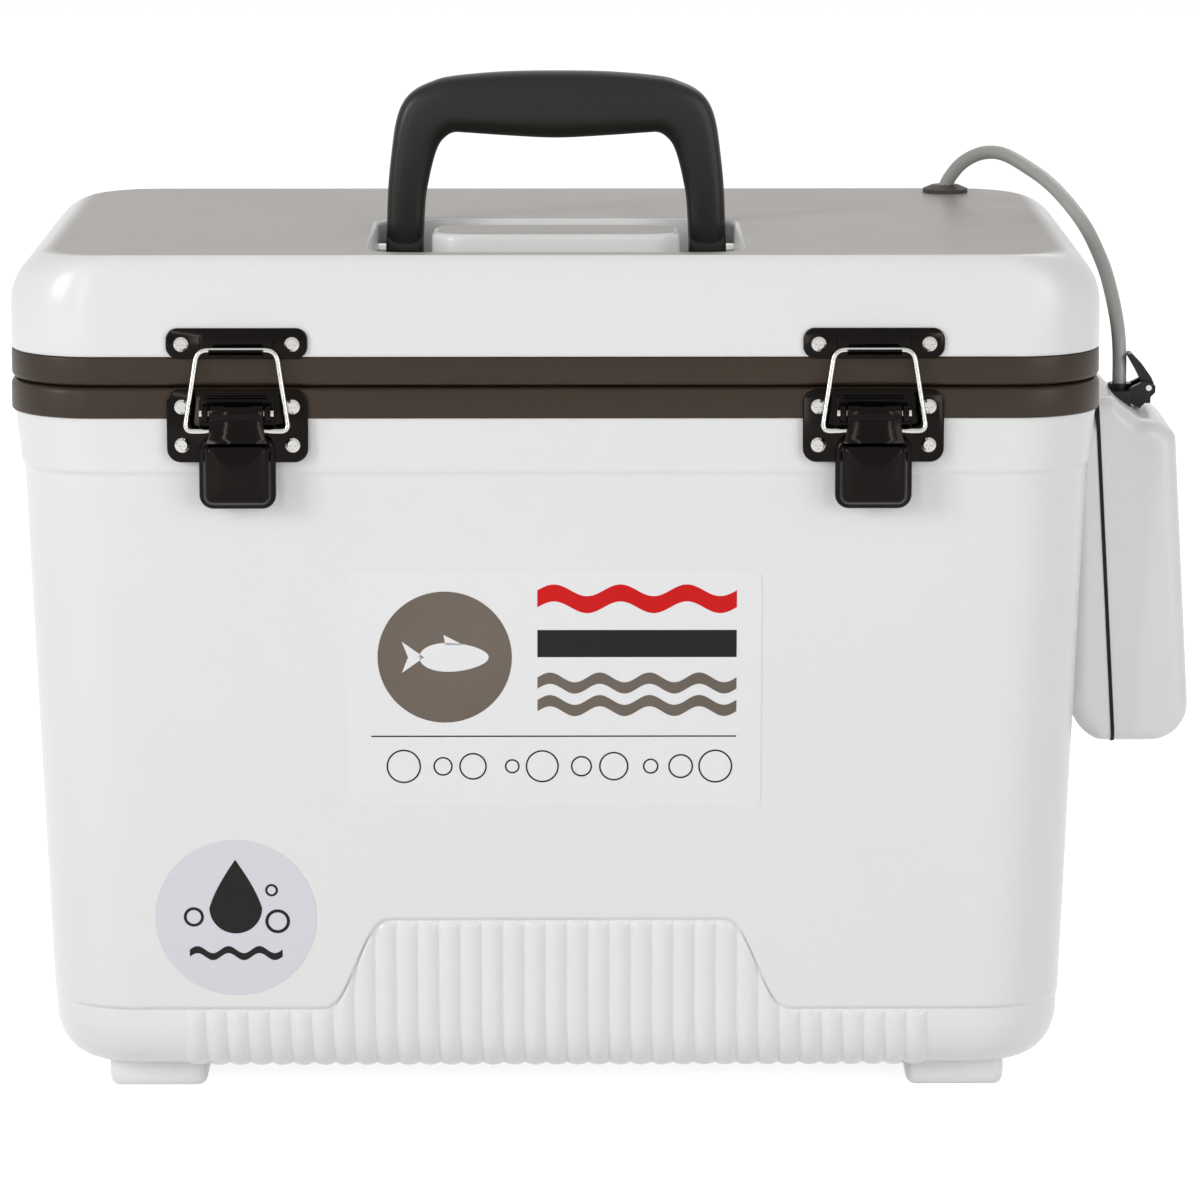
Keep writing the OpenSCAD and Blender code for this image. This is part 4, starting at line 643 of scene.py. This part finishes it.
def lever(cx):
    top, low = LEVER_Z - 10.4, LEVER_Z - 41.5
    mid, h = (top + low) / 2, (top - low) / 2
    back = -LEVER_Y - 4
    levels = [(i, back + s) for i, s in
              ((1.2, 0.2), (0.3, 0), (0, 0.5), (0, 1.6), (0.5, 2.3), (1.3, 2.7), (1.9, 3.2), (2.3, 4.4),
               (2.8, 5.8), (3.6, 7.0), (4.8, 7.8), (6.6, 8.3), (9.0, 8.7), (12.0, 9.0))]
    parts = [facing(skin(pressed(16.4, h, 6, mid, levels)), cx)]
    # Barrel and neck
    prof = [(-11.65, 1.7), (-11.65, 3.8), (-11.2, 4.2), (11.2, 4.2), (11.65, 3.8), (11.65, 1.7)]
    parts.append(lathe_x([(cx + x, r) for x, r in prof], LEVER_Y, LEVER_Z, 32))
    rings = []
    for drop, hw, y0, y1 in ((0, 11.6, 2.9, 2.7), (5, 11.6, 2.9, 2.8), (8, 11.8, 2.9, 3.0),
                             (10.6, 12.6, 3.2, 3.3), (12.5, 13.6, 3.4, 3.4)):
        rings.append([(cx + x, LEVER_Y + y, LEVER_Z - drop) for x, y in
                      [(-hw + 0.6, y0), (hw - 0.6, y0), (hw, y0 - 0.6), (hw, -y1 + 0.6), (hw - 0.6, -y1),
                       (-hw + 0.6, -y1), (-hw, -y1 + 0.6), (-hw, y0 - 0.6)]])
    parts.append(skin(rings))
    return joined(*parts)


def arc(a, b, c, cut, steps=8):
    """Points that round the corner b between a and c, starting cut away from it."""
    a, b, c = (np.array(v, float) for v in (a, b, c))
    p = b + cut * (a - b) / np.linalg.norm(a - b)
    q = b + cut * (c - b) / np.linalg.norm(c - b)
    return [(1 - t) ** 2 * p + 2 * t * (1 - t) * b + t * t * q for t in np.linspace(0, 1, steps)]


def bail(cx):
    low, top = 22.15, 16.85
    right = [(9.0, LEVER_Y, END_Z), (low, LEVER_Y, END_Z), (top, BAR_Y, BAR_Z)]
    left = [(-x, y, z) for x, y, z in right]
    line = [right[0]] + arc(right[0], right[1], right[2], 3.6) + arc(right[1], right[2], left[2], 4.8)
    line += arc(right[2], left[2], left[1], 4.8) + arc(left[2], left[1], left[0], 3.6) + [left[0]]
    side = np.cross((1, 0, 0), (0, BAR_Y - LEVER_Y, BAR_Z - END_Z))
    return tube([(p[0] + cx, p[1], p[2]) for p in line], 1.15, 18, side)


for hand, cx in (("left", -135.8), ("right", 135.8)):
    piece(f"{hand}_keeper_plate", *keeper(cx), "nickel", "lid", "black_nickel", [f"{hand}_keeper"])
    piece(f"{hand}_base_plate", *latch_base(cx), "nickel", "tub", "black_nickel",
          [f"{hand}_latch_base"])
    piece(f"{hand}_latch_lever", *lever(cx), "nickel", f"{hand}_latch", "black_nickel",
          [f"{hand}_lever"], angle=50)
    piece(f"{hand}_wire_bail", *bail(cx), "steel", f"{hand}_wire", "steel",
          [f"{hand}_bail"], angle=60)


# ---------------------------------------------------------------- pump case
PUMP_TOP, PUMP_H, PUMP_T, REAR_T, HALF_GAP = 300.6, 156.9, 34.0, 17.7, 0.82
PUMP_BOTTOM = PUMP_TOP - PUMP_H
PUMP_MID = PUMP_TOP - PUMP_H / 2


def seam_x(z):
    return RIM_W + 4.5 + (PUMP_TOP - z) * 0.062


def rounded_path(points, radii, steps=5):
    """A polygon whose corners are rounded by the radii."""
    out, n = [], len(points)
    for i in range(n):
        if radii[i] <= 0:
            out.append(points[i])
            continue
        a, b, c = (np.array(points[(i + k) % n], float) for k in (-1, 0, 1))
        la, lc = np.linalg.norm(a - b), np.linalg.norm(c - b)
        cut = min(radii[i], la * 0.48, lc * 0.48)
        p, q = b + (a - b) / la * cut, b + (c - b) / lc * cut
        out += [tuple((1 - t) ** 2 * p + 2 * t * (1 - t) * b + t * t * q)
                for t in np.linspace(0, 1, steps)]
    return out


# Side outlines of the outer and the inner half: distance from the seam, and height
FRONT_UZ = [(0, PUMP_BOTTOM)] + [
    (PUMP_T - 18 + 18 * math.cos(a), PUMP_BOTTOM + 18 + 18 * math.sin(a))
    for a in np.linspace(-math.pi / 2, 0, 13)] + rounded_path(
    [(PUMP_T, PUMP_TOP - 60), (PUMP_T, PUMP_TOP - 17.6), (PUMP_T - 3.4, PUMP_TOP - 14.8),
     (PUMP_T - 8, PUMP_TOP - 11), (PUMP_T - 16, PUMP_TOP - 10.5), (PUMP_T - 19, PUMP_TOP - 8),
     (PUMP_T - 23.8, PUMP_TOP - 4.4), (6.6, PUMP_TOP - 0.2), (0, PUMP_TOP)],
    [0, 5, 3, 4, 2, 2, 2, 2, 0])
REAR_UZ = rounded_path(
    [(0, PUMP_TOP - 9.6), (-4, PUMP_TOP - 9.6), (-8.5, PUMP_TOP - 30.6), (-REAR_T, PUMP_BOTTOM + 14),
     (-13, PUMP_BOTTOM + 5), (-6, PUMP_BOTTOM), (0, PUMP_BOTTOM)], [0, 3, 8, 4, 6, 5, 0])


def case_half(uz, off, deep, edge=8.0, half=43.0):
    """A case half as slices from one side to the other, drawn in towards both sides."""
    rings = []
    turns = (0, 12, 25, 38, 52, 66, 80, 90)
    for s, deg in [(1, a) for a in turns] + [(-1, a) for a in turns[::-1]]:
        a = math.radians(deg)
        e = edge * (1 - math.sin(a))
        y = s * (half - edge * (1 - math.cos(a)))
        ku, kz = 1 - e / deep, 1 - 2 * e / PUMP_H
        ring = []
        for u, z in uz:
            z = PUMP_MID + (z - PUMP_MID) * kz
            ring.append((seam_x(z) + off + u * ku, y, z))
        rings.append(ring)
    return skin(rings)


piece("pump_outer", *case_half(FRONT_UZ, HALF_GAP, PUMP_T), "white", "tub", "body_white",
      ["pump_front_case"])
piece("pump_inner", *case_half(REAR_UZ, -HALF_GAP, REAR_T), "white", "tub", "body_white",
      ["pump_rear_case"])


# ---------------------------------------------------------------- hoses
HOSE_X, GROMMET_X, GROMMET_Y, HOSE_Z = 254.0, 182.0, 113.0, 302.6
# Shares of the way from the pump to the grommet, along X, Y and Z
LOOP = [(0, 0.021, 0.19), (0.011, 0.068, 0.35), (0.042, 0.155, 0.535), (0.081, 0.246, 0.682),
        (0.16, 0.358, 0.863), (0.253, 0.465, 0.997), (0.36, 0.586, 1.11), (0.465, 0.697, 1.184),
        (0.632, 0.822, 1.27), (0.764, 0.903, 1.27), (0.885, 0.957, 1.204), (0.968, 0.988, 1.103),
        (1.011, 1.003, 1.011)]
OUTER_ROUTE = [(HOSE_X, 0, 281.72), (HOSE_X, 0, HOSE_Z)] + [
    (HOSE_X + (GROMMET_X - HOSE_X) * a, GROMMET_Y * b, HOSE_Z + (Z_TOP - HOSE_Z) * c)
    for a, b, c in LOOP]


def double_bend(a, b):
    """Points of an S from a down to b, upright at both ends."""
    h, d = a[2] - b[2], math.hypot(b[0] - a[0], b[1] - a[1])
    r = (h * h + d * d) / 4 / d
    out = []
    for k in range(7):
        u = math.asin(h / 2 / r) * min(k, 6 - k) / 3
        f = r * (1 - math.cos(u)) / d
        f = f if k < 3 else 1 - f
        z = a[2] - r * math.sin(u) if k < 3 else b[2] + r * math.sin(u)
        out.append((a[0] + (b[0] - a[0]) * f, a[1] + (b[1] - a[1]) * f, z))
    return out


DROP_X, DROP_Y, SWEEP = 175.0, 80.0, 26.0
INNER_ROUTE = [(GROMMET_X, GROMMET_Y, z) for z in (365.68, 364.5)]
INNER_ROUTE += double_bend((GROMMET_X, GROMMET_Y, 363.2), (DROP_X, DROP_Y, 312.0))
INNER_ROUTE += [(DROP_X, DROP_Y, z) for z in (240, 170, 101.5)]
INNER_ROUTE += [(DROP_X, DROP_Y - SWEEP * (1 - math.cos(a)), 55 + SWEEP * (1 - math.sin(a)))
                for a in np.linspace(0, math.pi / 2, 5)]
INNER_ROUTE += [(DROP_X, DROP_Y - SWEEP - k, 55.0) for k in (5, 10)]


def hose(name, route, body, node):
    line = smooth(route)
    obj = piece(name, *tube(line, HOSE_R, 20), "hose", body, "hose", [node], angle=60)
    return obj, [to_m(p) for p in line]


air, air_path = hose("air_tube", OUTER_ROUTE, "tub", "air_hose")
inner, inner_path = hose("stone_tube", INNER_ROUTE, "lid", "inner_hose")


# ---------------------------------------------------------------- labels
def on_wall(x, z, lift):
    """A point at lift in front of the front wall."""
    return (x, -half_d(z) - lift, z)


def sheet(name, outline, lift, thick, key, slot, replaces=()):
    """A thin flat piece on the front wall; outline is (x, z), anticlockwise seen from the front."""
    front = [on_wall(x, z, lift + thick) for x, z in outline]
    back = [on_wall(x, z, lift) for x, z in outline]
    return piece(name, *skin([back, front]), key, "tub", slot, replaces, angle=20)


def printed(name, outlines, key, lift=0.33):
    """Ink shapes on a label, as one very thin piece."""
    parts = []
    for outline in outlines:
        parts.append(skin([[on_wall(x, z, lift) for x, z in outline],
                           [on_wall(x, z, lift + 0.06) for x, z in outline]]))
    return piece(name, *joined(*parts), key, "tub", "label", angle=20)


def disc(cx, cz, r, n=48):
    return [(cx + r * math.cos(a), cz + r * math.sin(a))
            for a in np.linspace(0, 2 * math.pi, n, endpoint=False)]


def bar(x0, z0, x1, z1):
    return [(x0, z0), (x1, z0), (x1, z1), (x0, z1)]


def ring_pieces(cx, cz, r, w, n=40):
    """A thin ring, as short flat pieces."""
    out = []
    for k in range(n):
        a, b = 2 * math.pi * k / n, 2 * math.pi * (k + 1) / n
        out.append([(cx + q * math.cos(t), cz + q * math.sin(t))
                    for q, t in ((r - w, a), (r, a), (r, b), (r - w, b))])
    return out


def wave(x0, x1, z, amp, thick, periods, n=60):
    """A waved stripe, as short flat pieces."""
    xs = np.linspace(x0, x1, n)
    low = [(x, z + amp * math.sin(2 * math.pi * periods * (x - x0) / (x1 - x0))) for x in xs]
    return [[a, b, (b[0], b[1] + thick), (a[0], a[1] + thick)] for a, b in zip(low, low[1:])]


def fish(cx, cz, s, n=40):
    """A plain fish: a lens-shaped body and a forked tail."""
    body = []
    for k in range(n):
        t = 2 * math.pi * k / n
        x = math.cos(t)
        body.append((cx + s * x, cz + s * 0.42 * math.sin(t) * (1 - 0.18 * x)))
    tail = [(cx - 0.86 * s, cz), (cx - 1.5 * s, cz + 0.46 * s), (cx - 1.32 * s, cz),
            (cx - 1.5 * s, cz - 0.46 * s)]
    fin = [(cx - 0.25 * s, cz + 0.36 * s), (cx + 0.28 * s, cz + 0.36 * s), (cx - 0.3 * s, cz + 0.66 * s)]
    return [body, tail[::-1], fin]


LX0, LX1, LZ0, LZ1 = -90.65, 88.65, 133.5, 237.9
sheet("front_film",
      [p[:2] for p in rounded((LX1 - LX0) / 2, (LZ1 - LZ0) / 2, 4, 0, 6, 4, -1, (LZ0 + LZ1) / 2)],
      0.02, 0.3, "film", "label", ["front_label"])
printed("print_red", wave(-8, 78, 222, 2.6, 7.5, 3.0), "ink_red")
printed("print_black", [bar(-8, 200, 78, 212)], "ink_black")
printed("print_taupe", [disc(-48, 200, 29, 72)] + wave(-8, 78, 186, 2.2, 5, 4)
        + wave(-8, 78, 176, 2.2, 5, 4), "ink_taupe")
printed("print_fish", fish(-44, 200, 15), "film", 0.4)
line_parts = [bar(-80, 164.6, 78, 165.2)]
for bx, br in ((-66, 7.5), (-49, 4.2), (-36, 6.0), (-19, 3.2), (-6, 7.2), (11, 4.6), (25, 6.4),
               (41, 3.4), (54, 5.4), (69, 7.4)):
    line_parts += ring_pieces(bx, 151.5, br, 0.7)
printed("print_bubbles", line_parts, "ink_black")

DISC_X, DROP_R = -139.7, 11.5
sheet("round_film", disc(DISC_X, 83.6, 35, 96), 0.02, 0.3, "film_pale", "label", ["round_label"])
drop = []
for x, z in disc(0, 0, DROP_R, 60):
    if z > 0:
        x *= (1 - z / DROP_R) ** 0.55 if z < DROP_R else 0
        z *= 1.9
    drop.append((DISC_X + x, 88 + z))
printed("print_drop", [drop] + ring_pieces(-158, 84, 4.4, 1.3) + ring_pieces(-121.5, 82, 5.4, 1.4)
        + ring_pieces(-124, 96, 2.8, 1.0) + wave(-160, -119.5, 66, 1.6, 3.2, 3), "ink_black")


# ---------------------------------------------------------------- stage and light
def stage_plane(name, verts, key):
    mesh = bpy.data.meshes.new(name)
    mesh.from_pydata(verts, [], [(0, 1, 2, 3)])
    mesh.materials.append(key)
    obj = bpy.data.objects.new(name, mesh)
    bpy.context.collection.objects.link(obj)
    return obj


def floor_look():
    """A white floor that keeps the shadow; its glow is seen by the camera and in reflections only."""
    m = bpy.data.materials.new("floor")
    m.use_nodes = True
    nt = m.node_tree
    bsdf = nt.nodes["Principled BSDF"]
    bsdf.inputs["Base Color"].default_value = (0.82, 0.82, 0.82, 1)
    bsdf.inputs["Roughness"].default_value = 0.95
    bsdf.inputs["Specular IOR Level"].default_value = 0.0
    glow = nt.nodes.new("ShaderNodeEmission")
    rays = nt.nodes.new("ShaderNodeLightPath")
    either = nt.nodes.new("ShaderNodeMath")
    either.operation = "MAXIMUM"
    nt.links.new(rays.outputs["Is Camera Ray"], either.inputs[0])
    nt.links.new(rays.outputs["Is Glossy Ray"], either.inputs[1])
    amount = nt.nodes.new("ShaderNodeMath")
    amount.operation = "MULTIPLY"
    amount.inputs[1].default_value = 0.8
    nt.links.new(either.outputs["Value"], amount.inputs[0])
    nt.links.new(amount.outputs["Value"], glow.inputs["Strength"])
    both = nt.nodes.new("ShaderNodeAddShader")
    nt.links.new(bsdf.outputs["BSDF"], both.inputs[0])
    nt.links.new(glow.outputs["Emission"], both.inputs[1])
    nt.links.new(both.outputs["Shader"], nt.nodes["Material Output"].inputs["Surface"])
    return m


stage_plane("floor", [(-6, -6, 0), (6, -6, 0), (6, 6, 0), (-6, 6, 0)], floor_look())

world = bpy.data.worlds.new("world")
bpy.context.scene.world = world
world.use_nodes = True
wt = world.node_tree
background = wt.nodes["Background"]
path_node = wt.nodes.new("ShaderNodeLightPath")
white = wt.nodes.new("ShaderNodeBackground")
white.inputs["Color"].default_value = (1, 1, 1, 1)
white.inputs["Strength"].default_value = 1.0
background.inputs["Color"].default_value = (1, 1, 1, 1)
background.inputs["Strength"].default_value = 0.5
# The sky that lights the scene is dimmer overhead than round the sides
sky = wt.nodes.new("ShaderNodeTexCoord")
height = wt.nodes.new("ShaderNodeSeparateXYZ")
wt.links.new(sky.outputs["Generated"], height.inputs["Vector"])
dim = wt.nodes.new("ShaderNodeMapRange")
dim.inputs["From Min"].default_value = 0.0
dim.inputs["From Max"].default_value = 0.9
dim.inputs["To Min"].default_value = 0.62
dim.inputs["To Max"].default_value = 0.2
wt.links.new(height.outputs["Z"], dim.inputs["Value"])
wt.links.new(dim.outputs["Result"], background.inputs["Strength"])
mix_shader = wt.nodes.new("ShaderNodeMixShader")
seen = wt.nodes.new("ShaderNodeMath")
seen.operation = "MAXIMUM"
wt.links.new(path_node.outputs["Is Camera Ray"], seen.inputs[0])
wt.links.new(path_node.outputs["Is Glossy Ray"], seen.inputs[1])
wt.links.new(seen.outputs["Value"], mix_shader.inputs["Fac"])
wt.links.new(background.outputs["Background"], mix_shader.inputs[1])
wt.links.new(white.outputs["Background"], mix_shader.inputs[2])
wt.links.new(mix_shader.outputs["Shader"], wt.nodes["World Output"].inputs["Surface"])


def area(name, location, target, size, power, size_y=None):
    light = bpy.data.lights.new(name, "AREA")
    light.shape = "RECTANGLE"
    light.size, light.size_y = size, size_y or size
    light.energy = power
    obj = bpy.data.objects.new(name, light)
    bpy.context.collection.objects.link(obj)
    obj.location = location
    obj.rotation_euler = (Vector(target) - Vector(location)).to_track_quat("-Z", "Y").to_euler()
    return obj


area("key_left", (-2.3, -1.7, 1.2), (0, 0, 0.2), 0.8, 30, 1.2)
area("key_right", (2.1, -1.9, 0.9), (0, 0, 0.2), 0.9, 14, 1.6)
area("strip_left", (-0.9, -2.0, 0.7), (0, 0, 0.3), 0.08, 3.6, 1.2)
area("strip_right", (1.2, -2.0, 0.7), (0, 0, 0.3), 0.08, 3.6, 1.2)
area("top_soft", (0, 0.6, 2.4), (0, 0, 0.3), 1.2, 3)
area("back_rim", (0.9, 1.7, 2.3), (0, 0, 0.3), 1.2, 9)

bpy.context.scene.view_settings.view_transform = "Standard"
bpy.context.scene.view_settings.look = "None"
